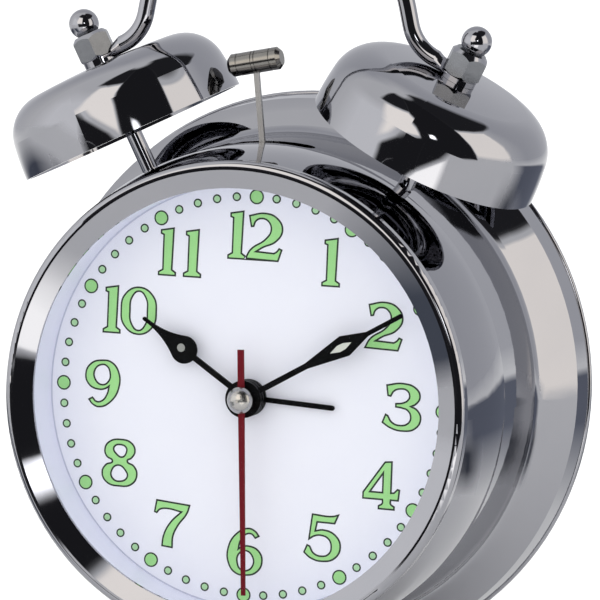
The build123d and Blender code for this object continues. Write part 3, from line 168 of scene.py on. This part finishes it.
# Lacquer of the circuit board: deep green with a soft gloss
boardLacquer = finish("greenBoardLacquer", "2F5B3A", "2A5335", rough=(0.3, 0.42), patchMm=3.0)
# The battery's plastic sleeve: smooth dark grey
batterySleeve = finish("batterySleeve", "3B3D40", "36383B", rough=(0.2, 0.3), patchMm=6.0)
# Clear acrylic lens: hardly seen, with a thin surface sheen
clearAcrylic = finish("clearAcrylic", "20242A", "1C2026", rough=(0.01, 0.03), patchMm=20.0, Alpha=0.015)
print("materials made")

slotMaterial = {
    "dark_chrome": chromePlate, "bright_nickel": nickelPlate, "steel": zincPlate, "brass": brass,
    "clear_lens": clearAcrylic, "white_plastic": whitePlastic, "dial_white": dialPaint,
    "hand_black": blackPaint, "hand_red": redPaint, "black_plastic": blackPlastic,
    "copper_wire": copperWire, "board_green": boardLacquer, "battery_wrap": batterySleeve,
}
ownMaterial = {"hammer_head": greyNickel, "hammer_arm": brushedSteel, "dial_ring": ringPlastic,
               "second_hand_cap": satinCap}
for piece in frame["record"]["subparts"]:
    node = frame["nodes"][piece["node"]]
    node.data.materials.clear()
    node.data.materials.append(ownMaterial.get(piece["node"], slotMaterial[piece["material_slot"]]))
# The nuts' flats are satin and their balls stay polished: a flat is a plane whose faces have more than
# this area together, in square millimetres.
nutPaint = {"flatArea": 2.5, "facingDigits": 2, "depthDigits": 1}
nuts = frame["nodes"]["ball_nuts"].data
nuts.materials.append(satinNickel)
planes = {}
for polygon in nuts.polygons:
    facing = polygon.normal
    depth = round(facing.dot(polygon.center) / mm, nutPaint["depthDigits"])
    key = (*(round(v, nutPaint["facingDigits"]) for v in facing), depth)
    planes.setdefault(key, []).append(polygon)
for members in planes.values():
    if sum(polygon.area for polygon in members) > nutPaint["flatArea"] * mm * mm:
        for polygon in members:
            polygon.material_index = 1
print("nodes painted")


def meshPiece(name, vertices, faces, material, rides):
    data = bpy.data.meshes.new(name)
    data.from_pydata([clockFrame @ Vector(v) for v in vertices], [], faces)
    data.validate()
    data.materials.append(material)
    piece = bpy.data.objects.new(name, data)
    bpy.context.scene.collection.objects.link(piece)
    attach(piece, rides)


# Dial print. Digits are drawn in units of their height: s is a smooth point, c a corner.
digits = {
    "1": [[(0.31, 1.0, "c"), (0.04, 0.95, "c"), (0.04, 0.89, "c"), (0.1, 0.865, "c"), (0.095, 0.11, "c"),
           (0.0, 0.055, "c"), (0.0, 0.0, "c"), (0.37, 0.0, "c"), (0.37, 0.055, "c"), (0.285, 0.11, "c")]],
    "2": [[(0.06, 0.92, "c"), (0.4, 0.985, "s"), (0.66, 0.9, "s"), (0.79, 0.66, "s"), (0.66, 0.42, "s"),
           (0.36, 0.27, "s"), (0.2, 0.165, "c"), (0.62, 0.145, "c"), (0.69, 0.19, "s"), (0.735, 0.25, "c"),
           (0.785, 0.23, "c"), (0.71, 0.0, "c"), (0.0, 0.02, "c"), (0.1, 0.2, "s"), (0.44, 0.45, "s"),
           (0.55, 0.64, "s"), (0.48, 0.83, "s"), (0.32, 0.885, "s"), (0.19, 0.82, "s"), (0.145, 0.71, "c"),
           (0.105, 0.705, "c")]],
    "3": [[(0.08, 0.935, "c"), (0.42, 0.99, "s"), (0.72, 0.9, "s"), (0.8, 0.73, "s"), (0.72, 0.59, "s"),
           (0.6, 0.525, "c"), (0.76, 0.44, "s"), (0.83, 0.27, "s"), (0.72, 0.07, "s"), (0.46, 0.0, "s"),
           (0.18, 0.05, "s"), (0.01, 0.15, "c"), (0.07, 0.31, "c"), (0.11, 0.29, "c"), (0.2, 0.16, "s"),
           (0.38, 0.1, "s"), (0.57, 0.16, "s"), (0.625, 0.29, "s"), (0.55, 0.44, "s"), (0.42, 0.485, "s"),
           (0.29, 0.5, "c"), (0.29, 0.555, "c"), (0.44, 0.58, "s"), (0.56, 0.66, "s"), (0.585, 0.75, "s"),
           (0.52, 0.86, "s"), (0.37, 0.885, "s"), (0.23, 0.83, "s"), (0.16, 0.72, "c"), (0.11, 0.73, "c")]],
    "4": [[(0.46, 0.985, "c"), (0.6, 1.0, "c"), (0.6, 0.335, "c"), (0.68, 0.345, "c"), (0.75, 0.42, "c"),
           (0.785, 0.41, "c"), (0.765, 0.2, "c"), (0.6, 0.2, "c"), (0.6, 0.11, "s"), (0.68, 0.05, "c"),
           (0.68, 0.0, "c"), (0.35, 0.0, "c"), (0.35, 0.05, "c"), (0.43, 0.11, "s"), (0.43, 0.2, "c"),
           (0.0, 0.2, "c"), (0.0, 0.32, "c")],
          [(0.43, 0.335, "c"), (0.13, 0.335, "c"), (0.43, 0.78, "c")]],
    "5": [[(0.16, 0.98, "c"), (0.6, 0.965, "s"), (0.72, 1.0, "c"), (0.65, 0.83, "c"), (0.26, 0.835, "c"),
           (0.22, 0.625, "c"), (0.42, 0.66, "s"), (0.68, 0.56, "s"), (0.79, 0.34, "s"), (0.68, 0.09, "s"),
           (0.4, 0.0, "s"), (0.15, 0.05, "s"), (0.0, 0.16, "c"), (0.06, 0.31, "c"), (0.11, 0.29, "c"),
           (0.2, 0.15, "s"), (0.38, 0.095, "s"), (0.55, 0.16, "s"), (0.6, 0.33, "s"), (0.53, 0.49, "s"),
           (0.36, 0.555, "s"), (0.21, 0.53, "s"), (0.1, 0.46, "c")]],
    "6": [[(0.69, 0.86, "c"), (0.61, 0.95, "s"), (0.46, 1.0, "s"), (0.2, 0.87, "s"), (0.02, 0.55, "s"),
           (0.04, 0.22, "s"), (0.2, 0.03, "s"), (0.41, 0.0, "s"), (0.66, 0.08, "s"), (0.78, 0.31, "s"),
           (0.7, 0.53, "s"), (0.48, 0.62, "s"), (0.32, 0.59, "s"), (0.235, 0.53, "c"), (0.28, 0.73, "s"),
           (0.4, 0.88, "s"), (0.53, 0.9, "s"), (0.62, 0.82, "c")],
          [(0.41, 0.53, "s"), (0.25, 0.44, "s"), (0.22, 0.26, "s"), (0.31, 0.1, "s"), (0.44, 0.085, "s"),
           (0.58, 0.2, "s"), (0.58, 0.4, "s")]],
    "7": [[(0.04, 0.99, "c"), (0.78, 0.93, "c"), (0.73, 0.77, "s"), (0.52, 0.47, "s"), (0.42, 0.24, "s"),
           (0.41, 0.0, "c"), (0.19, 0.02, "c"), (0.22, 0.24, "s"), (0.36, 0.52, "s"), (0.62, 0.785, "c"),
           (0.22, 0.835, "s"), (0.1, 0.8, "s"), (0.04, 0.73, "c"), (0.0, 0.745, "c")]],
    "8": [[(0.4, 1.0, "s"), (0.66, 0.93, "s"), (0.73, 0.77, "s"), (0.66, 0.63, "s"), (0.56, 0.55, "s"),
           (0.72, 0.44, "s"), (0.79, 0.27, "s"), (0.68, 0.06, "s"), (0.39, 0.0, "s"), (0.11, 0.06, "s"),
           (0.0, 0.26, "s"), (0.08, 0.43, "s"), (0.23, 0.52, "s"), (0.09, 0.63, "s"), (0.05, 0.77, "s"),
           (0.14, 0.93, "s")],
          [(0.4, 0.9, "s"), (0.28, 0.87, "s"), (0.24, 0.79, "s"), (0.3, 0.69, "s"), (0.45, 0.62, "s"),
           (0.55, 0.75, "s"), (0.53, 0.85, "s")],
          [(0.35, 0.45, "s"), (0.2, 0.3, "s"), (0.23, 0.15, "s"), (0.41, 0.09, "s"), (0.58, 0.2, "s"),
           (0.54, 0.34, "s")]],
    "0": [[(0.395, 1.0, "s"), (0.72, 0.82, "s"), (0.79, 0.5, "s"), (0.72, 0.18, "s"), (0.395, 0.0, "s"),
           (0.07, 0.18, "s"), (0.0, 0.5, "s"), (0.07, 0.82, "s")],
          [(0.395, 0.93, "s"), (0.23, 0.79, "s"), (0.19, 0.5, "s"), (0.23, 0.21, "s"), (0.395, 0.07, "s"),
           (0.56, 0.21, "s"), (0.6, 0.5, "s"), (0.56, 0.79, "s")]],
}
digitWidth = {"1": 0.37, "2": 0.79, "3": 0.83, "4": 0.785, "5": 0.79, "6": 0.79, "7": 0.78, "8": 0.79,
              "9": 0.79, "0": 0.79}
# The nine is the six turned by half a turn
digits["9"] = [[(digitWidth["6"] - x, 1.0 - y, kind) for x, y, kind in loop] for loop in digits["6"]]

dialPrint = {"height": 9.2, "ringR": 31.0, "rise": 0.35, "gap": 0.03, "onesGap": 0.2, "outline": 0.22,
             "inset": 0.12, "inkLift": 0.03, "lumeLift": 0.06, "dotRingR": 39.25, "bigDotR": 1.48,
             "smallDotR": 0.88, "dotEdge": 0.28, "dotSides": 40, "curveSteps": 8, "hourTurn": 30,
             "minuteTurn": 6}


def flatten(curve):
    holder = bpy.data.objects.new("glyph", curve)
    bpy.context.scene.collection.objects.link(holder)
    bpy.context.view_layer.update()
    flat = bpy.data.meshes.new_from_object(holder.evaluated_get(bpy.context.evaluated_depsgraph_get()))
    vertices = [tuple(v.co[:2]) for v in flat.vertices]
    faces = [tuple(p.vertices) for p in flat.polygons]
    bpy.data.objects.remove(holder)
    bpy.data.curves.remove(curve)
    bpy.data.meshes.remove(flat)
    return vertices, faces


def flatCurve(loops, offset):
    curve = bpy.data.curves.new("glyph", "CURVE")
    curve.dimensions = "2D"
    curve.fill_mode = "BOTH"
    curve.resolution_u = dialPrint["curveSteps"]
    curve.offset = offset
    for loop in loops:
        spline = curve.splines.new("BEZIER")
        spline.bezier_points.add(len(loop) - 1)
        spline.use_cyclic_u = True
        for point, (x, y, kind) in zip(spline.bezier_points, loop):
            point.co = (x, y, 0)
            handle = "AUTO" if kind == "s" else "VECTOR"
            point.handle_left_type = handle
            point.handle_right_type = handle
    return flatten(curve)


def numeralLoops(text):
    size = dialPrint["height"]
    gap = dialPrint["onesGap"] if text == "11" else dialPrint["gap"]
    width = sum(digitWidth[d] for d in text) + gap * (len(text) - 1)
    at = -width / 2
    loops = []
    for digit in text:
        for loop in digits[digit]:
            loops.append([((x + at) * size, (y - 0.5) * size, kind) for x, y, kind in loop])
        at += digitWidth[digit] + gap
    return loops


def flatSet(name, parts, lift, material):
    vertices, faces = [], []
    for (partVertices, partFaces), (cx, cz) in parts:
        start = len(vertices)
        vertices += [(x + cx, -lift, z + cz) for x, z in partVertices]
        faces += [tuple(i + start for i in face) for face in partFaces]
    meshPiece(name, vertices, faces, material, body)


def disc(radius, count=dialPrint["dotSides"]):
    ring = [(radius * math.cos(2 * math.pi * i / count), radius * math.sin(2 * math.pi * i / count))
            for i in range(count)]
    return ring, [tuple(range(count))]


def clockPoint(radius, degrees):
    turn = math.radians(degrees)
    return radius * math.sin(turn), radius * math.cos(turn)


# Hours that stand off their place on the ring, to the right and up
dialNudge = {1: (0.2, 0.25), 4: (0.65, 0), 5: (0.4, 0), 10: (1.2, -0.5), 11: (0, 0.25), 12: (0, 0.25)}
inkParts, lumeParts = [], []
for hour in range(1, 13):
    loops = numeralLoops(str(hour))
    aside, above = dialNudge.get(hour, (0, 0))
    x, z = clockPoint(dialPrint["ringR"], hour * dialPrint["hourTurn"])
    spot = (x + aside, z + above + dialPrint["rise"])
    inkParts.append((flatCurve(loops, dialPrint["outline"]), spot))
    lumeParts.append((flatCurve(loops, -dialPrint["inset"]), spot))
flatSet("numeralOutlines", inkParts, dialPrint["inkLift"], darkInk)
flatSet("numeralFaces", lumeParts, dialPrint["lumeLift"], greenInk)
dotRingR = dialPrint["dotRingR"]
bigDots = [clockPoint(dotRingR, dialPrint["hourTurn"] * i) for i in range(12)]
smallDots = [clockPoint(dotRingR, dialPrint["minuteTurn"] * i) for i in range(60) if i % 5]
edge = dialPrint["dotEdge"]
bigR, smallR = dialPrint["bigDotR"], dialPrint["smallDotR"]
rims = [(disc(bigR), p) for p in bigDots] + [(disc(smallR), p) for p in smallDots]
flatSet("minuteDotRims", rims, dialPrint["inkLift"], darkInk)
flatSet("hourDots", [(disc(bigR - edge), p) for p in bigDots], dialPrint["lumeLift"], greenInk)
flatSet("minuteDots", [(disc(smallR - edge), p) for p in smallDots], dialPrint["lumeLift"], paleInk)


def band(radius, wide, start, end, count):
    # A flat arc from one clock angle to another
    turns = [start + (end - start) * step / count for step in range(count + 1)]
    inner = [clockPoint(radius - wide / 2, turn) for turn in turns]
    outer = [clockPoint(radius + wide / 2, turn) for turn in turns]
    return inner + outer, [(i, i + 1, count + 2 + i, count + 1 + i) for i in range(count)]


# A thin ring of painted shade on the dial, where it meets its ring
seamShadeLine = {"r": 41.85, "wide": 0.3, "lift": 0.02, "steps": 120}
line = band(seamShadeLine["r"], seamShadeLine["wide"], 0, 360, seamShadeLine["steps"])
flatSet("dialSeamShade", [(line, (0, 0))], seamShadeLine["lift"], seamShadePaint)
print("dial printed")


# Marks on the back cover: an arrow round each knob and the switch's two words, turned to face the back
backPrint = {"faceY": 37.93, "knobs": ((16.31, 7.61), (-18.71, 7.69)), "arrowR": 8.3, "arrowWide": 0.4,
             "arrowTurn": 55, "arrowSteps": 40, "headWide": 1.7, "headTurn": 14, "wordSize": 3.0,
             "wordUp": 26.0, "wordOut": 10.2}


def wordFlat(text):
    curve = bpy.data.curves.new("word", "FONT")
    curve.body = text
    curve.size = backPrint["wordSize"]
    curve.align_x = "CENTER"
    curve.align_y = "CENTER"
    vertices, faces = flatten(curve)
    return [(-x, y) for x, y in vertices], faces


marks = []
reach, arrowR, headWide = backPrint["arrowTurn"], backPrint["arrowR"], backPrint["headWide"]
head = [clockPoint(arrowR - headWide / 2, -reach), clockPoint(arrowR + headWide / 2, -reach),
        clockPoint(arrowR, -reach - backPrint["headTurn"])]
for knob in backPrint["knobs"]:
    arc = band(arrowR, backPrint["arrowWide"], -reach, reach, backPrint["arrowSteps"])
    marks.append((arc, knob))
    marks.append(((head, [(0, 1, 2)]), knob))
marks.append((wordFlat("OFF"), (-backPrint["wordOut"], backPrint["wordUp"])))
marks.append((wordFlat("ON"), (backPrint["wordOut"], backPrint["wordUp"])))
flatSet("backMarks", marks, -backPrint["faceY"], markInk)
print("back marked")


# Lume inserts on the hands
inserts = {"hourDeg": 303.3, "hourAt": 16.4, "hourR": 0.82, "hourFront": 2.72, "minuteDeg": 59.6,
           "minuteAt": 22.6, "minuteLong": 4.9, "minuteWide": 1.35, "minuteFront": 4.07, "hourSides": 24,
           "lowerBelly": 0.2, "upperBelly": 0.35, "upperWide": 0.9}


def onHand(points, degrees, lift):
    turn = math.radians(degrees)
    return [(x * math.cos(turn) + z * math.sin(turn), -lift, z * math.cos(turn) - x * math.sin(turn))
            for x, z in points]


ring, face = disc(inserts["hourR"], inserts["hourSides"])
ring = [(x, z + inserts["hourAt"]) for x, z in ring]
ring = onHand(ring, inserts["hourDeg"], inserts["hourFront"])
meshPiece("hourLume", ring, face, greyFilling, "hour_train")
half, wide, at = inserts["minuteLong"] / 2, inserts["minuteWide"] / 2, inserts["minuteAt"]
lower, upper = at - half * inserts["lowerBelly"], at + half * inserts["upperBelly"]
upperWide = wide * inserts["upperWide"]
blade = [(0, at - half), (wide, lower), (upperWide, upper), (0, at + half), (-upperWide, upper),
         (-wide, lower)]
blade = onHand(blade, inserts["minuteDeg"], inserts["minuteFront"])
meshPiece("minuteLume", blade, [tuple(range(len(blade)))], lumeFilling, "minute_train")
print("hand inserts made")


# Studio: pale floor and white surround; only mirrors see the dark flags and the lit panels.
# The floor's size is in metres and its drop in millimetres.
studio = {"floorColour": "F2F2F2", "surroundLight": 1.15, "floorSize": 6.0, "floorLift": 0.22,
          "floorDrop": 0.2}


def lightPath(tree, kinds):
    # One when the ray is of any of the named kinds, else zero
    path = addNode(tree, "ShaderNodeLightPath")
    total = path.outputs[kinds[0]]
    for kind in kinds[1:]:
        most = addNode(tree, "ShaderNodeMath", {"operation": "MAXIMUM"}, {0: total, 1: path.outputs[kind]})
        total = most.outputs[0]
    return total


world = bpy.data.worlds.new("studio")
bpy.context.scene.world = world
world.use_nodes = True
tree = world.node_tree
seen = lightPath(tree, ("Is Camera Ray", "Is Glossy Ray", "Is Transmission Ray"))
strength = addNode(tree, "ShaderNodeMapRange", {"To Min": studio["surroundLight"], "To Max": 1.0},
                   {"Value": seen})
background = tree.nodes["Background"]
background.inputs["Color"].default_value = (1, 1, 1, 1)
tree.links.new(strength.outputs["Result"], background.inputs["Strength"])

# The floor is lifted to white for the eye alone, so that its shadow stays and the clock gets no more light.
floorMaterial = finish("paleFloor", studio["floorColour"], studio["floorColour"], rough=(0.75, 0.85),
                       patchMm=60.0)
tree = floorMaterial.node_tree
shader = tree.nodes["Principled BSDF"]
shader.inputs["Emission Color"].default_value = (1, 1, 1, 1)
lift = addNode(tree, "ShaderNodeMapRange", {"To Min": 0.0, "To Max": studio["floorLift"]},
               {"Value": lightPath(tree, ("Is Camera Ray", "Is Transmission Ray"))})
tree.links.new(lift.outputs["Result"], shader.inputs["Emission Strength"])
half = studio["floorSize"] / 2
data = bpy.data.meshes.new("floor")
data.from_pydata([(-half, -half, 0), (half, -half, 0), (half, half, 0), (-half, half, 0)], [], [(0, 1, 2, 3)])
data.materials.append(floorMaterial)
floor = bpy.data.objects.new("floor", data)
bpy.context.scene.collection.objects.link(floor)
floor.location = (0, 0, -studio["floorDrop"] * mm)

# Curved screens round the clock, seen by mirrors alone: azimuths are counted from the front to the
# right and elevations from the bells' height, both in degrees. Far is in metres, and soft gives the
# widths over which the left, right, lower and upper edges fade. A screen that would pass the floor
# lies on it, higher by a millimetre for each metre that it is nearer than floorFar, so that
# overlapping ones stay apart.
screens = {
    "backCloth": dict(az=(96, 262), el=(-11, 84), far=2.9, hex="D8D9DE", glow=1.0, soft=(30, 30, 6, 20)),
    "leftGlow": dict(az=(-95, -14), el=(-6, 48), far=2.9, hex="FFFFFF", glow=1.3, soft=(30, 12, 5, 20)),
    "frontOpening": dict(az=(7, 64), el=(-13.5, 86), far=2.6, hex="2A2A2D", glow=1.0, soft=(2, 1, 1, 6)),
    "overheadLeft": dict(az=(-48, 11), el=(53, 86), far=2.58, hex="303033", glow=1.0, soft=(9, 3, 3, 6)),
    "overheadRight": dict(az=(60, 150), el=(40, 86), far=2.56, hex="303033", glow=1.0, soft=(3, 16, 2, 6)),
    "lowerFlag": dict(az=(-32, 12), el=(-13, 7.5), far=2.54, hex="2A2A2D", glow=1.0, soft=(5, 3, 1, 2)),
    "panelLeft": dict(az=(-36, 7), el=(9, 52), far=2.4, hex="FFF8EE", glow=2.0, soft=(8, 1.5, 2, 2)),
    "panelRight": dict(az=(63.5, 106), el=(-9, 39), far=2.4, hex="FFF8EE", glow=1.8, soft=(1.5, 4, 7, 1)),
    "lamp": dict(az=(18.8, 27.4), el=(10.2, 19.8), far=2.3, hex="FFFFFF", glow=8.0,
                 soft=(3.4, 3.4, 3.4, 3.4)),
    "tableFront": dict(az=(2, 37), el=(-35, -13.6), far=2.3, hex="FFFDF8", glow=2.5, soft=(6, 6, 13, 0.6)),
    "lowFront": dict(az=(-70, -34), el=(-50, -16), far=2.35, hex="666C78", glow=1.0, soft=(6, 14, 12, 5)),
    "lowLeft": dict(az=(-150, -52), el=(-36, -14), far=2.4, hex="5C616E", glow=1.0, soft=(24, 42, 10, 5)),
    "lowRight": dict(az=(104, 178), el=(-46, -12), far=2.4, hex="787D8B", glow=1.0, soft=(16, 20, 20, 2)),
    "lowBeside": dict(az=(92, 127), el=(-46, -24), far=2.3, hex="4C505A", glow=1.0, soft=(22, 12, 8, 8)),
}
# The screens' common centre is in millimetres above the floor.
screenRing = {"centreUp": 110.0, "floorFar": 3.0, "columns": 64, "rows": 48}
screenCentre = Vector((0, 0, screenRing["centreUp"] * mm))


def fade(share, span, before, after):
    # How far a place at this share of the span is inside the faded edges, from zero to one
    return min(1.0, share * span / before, (1 - share) * span / after)


def screenCloth(name, plan):
    material = bpy.data.materials.new(name)
    material.use_nodes = True
    tree = material.node_tree
    tree.nodes.remove(tree.nodes["Principled BSDF"])
    glow = addNode(tree, "ShaderNodeEmission", {"Color": linear(plan["hex"]), "Strength": plan["glow"]})
    clear = addNode(tree, "ShaderNodeBsdfTransparent")
    cover = addNode(tree, "ShaderNodeAttribute", {"attribute_name": "cover"})
    mixed = addNode(tree, "ShaderNodeMixShader", None,
                    {"Fac": cover.outputs["Fac"], 1: clear.outputs["BSDF"], 2: glow.outputs["Emission"]})
    tree.links.new(mixed.outputs["Shader"], tree.nodes["Material Output"].inputs["Surface"])
    return material


def curvedScreen(name, plan):
    columns, rows = screenRing["columns"], screenRing["rows"]
    (azLow, azHigh), (elLow, elHigh) = plan["az"], plan["el"]
    left, right, lower, upper = plan["soft"]
    vertices, faces, covers = [], [], []
    for row in range(rows + 1):
        el = math.radians(elLow + (elHigh - elLow) * row / rows)
        rowCover = fade(row / rows, elHigh - elLow, lower, upper)
        for column in range(columns + 1):
            az = math.radians(azLow + (azHigh - azLow) * column / columns)
            way = Vector((math.sin(az) * math.cos(el), -math.cos(az) * math.cos(el), math.sin(el)))
            far = plan["far"]
            if way.z < 0:
                above = (screenRing["floorFar"] - plan["far"]) * mm
                far = min(far, (screenCentre.z - above) / -way.z)
            vertices.append(screenCentre + way * far)
            covers.append(rowCover * fade(column / columns, azHigh - azLow, left, right))
    for row in range(rows):
        for column in range(columns):
            corner = row * (columns + 1) + column
            faces.append((corner, corner + 1, corner + columns + 2, corner + columns + 1))
    data = bpy.data.meshes.new(name)
    data.from_pydata(vertices, [], faces)
    data.attributes.new("cover", "FLOAT", "POINT").data.foreach_set("value", covers)
    data.materials.append(screenCloth(name + "Cloth", plan))
    screen = bpy.data.objects.new(name, data)
    bpy.context.scene.collection.objects.link(screen)
    screen.visible_camera = False
    screen.visible_diffuse = False
    screen.visible_transmission = False
    screen.visible_shadow = False


for name, plan in screens.items():
    curvedScreen(name, plan)
print("studio lit")


# Camera at the photograph's viewing angle: its distance is in millimetres and its clips in metres
shot = {"azimuth": 18.33, "elevation": 5.99, "roll": 1.99, "focalPx": 3649.8, "shiftX": 250.12,
        "shiftY": 396.91, "distance": 713.6, "imagePx": 600.0, "sensor": 36.0, "clipNear": 0.05,
        "clipFar": 30}
az, el, roll = (math.radians(shot[k]) for k in ("azimuth", "elevation", "roll"))
backward = Vector((math.sin(az) * math.cos(el), -math.cos(az) * math.cos(el), math.sin(el)))
level = Vector((math.cos(az), math.sin(az), 0))
upward = backward.cross(level)
camX = level * math.cos(roll) + upward * math.sin(roll)
camY = upward * math.cos(roll) - level * math.sin(roll)
toMm = shot["distance"] / shot["focalPx"]
half = shot["imagePx"] / 2
aside, above = (shot["shiftX"] - half) * toMm, (shot["shiftY"] - half) * toMm
spot = backward * shot["distance"] - camX * aside + camY * above
axes = Matrix((camX, camY, backward)).transposed().to_4x4()
camera = bpy.data.objects.new("camera", bpy.data.cameras.new("camera"))
bpy.context.scene.collection.objects.link(camera)
camera.data.sensor_width = shot["sensor"]
camera.data.lens = shot["sensor"] * shot["focalPx"] / shot["imagePx"]
camera.data.clip_start = shot["clipNear"]
camera.data.clip_end = shot["clipFar"]
camera.rotation_mode = "QUATERNION"
camera.location = clockFrame @ spot
camera.rotation_quaternion = (clockTurn @ axes).to_quaternion()
bpy.context.scene.camera = camera
bpy.context.scene.view_settings.view_transform = "Standard"
print("camera placed")
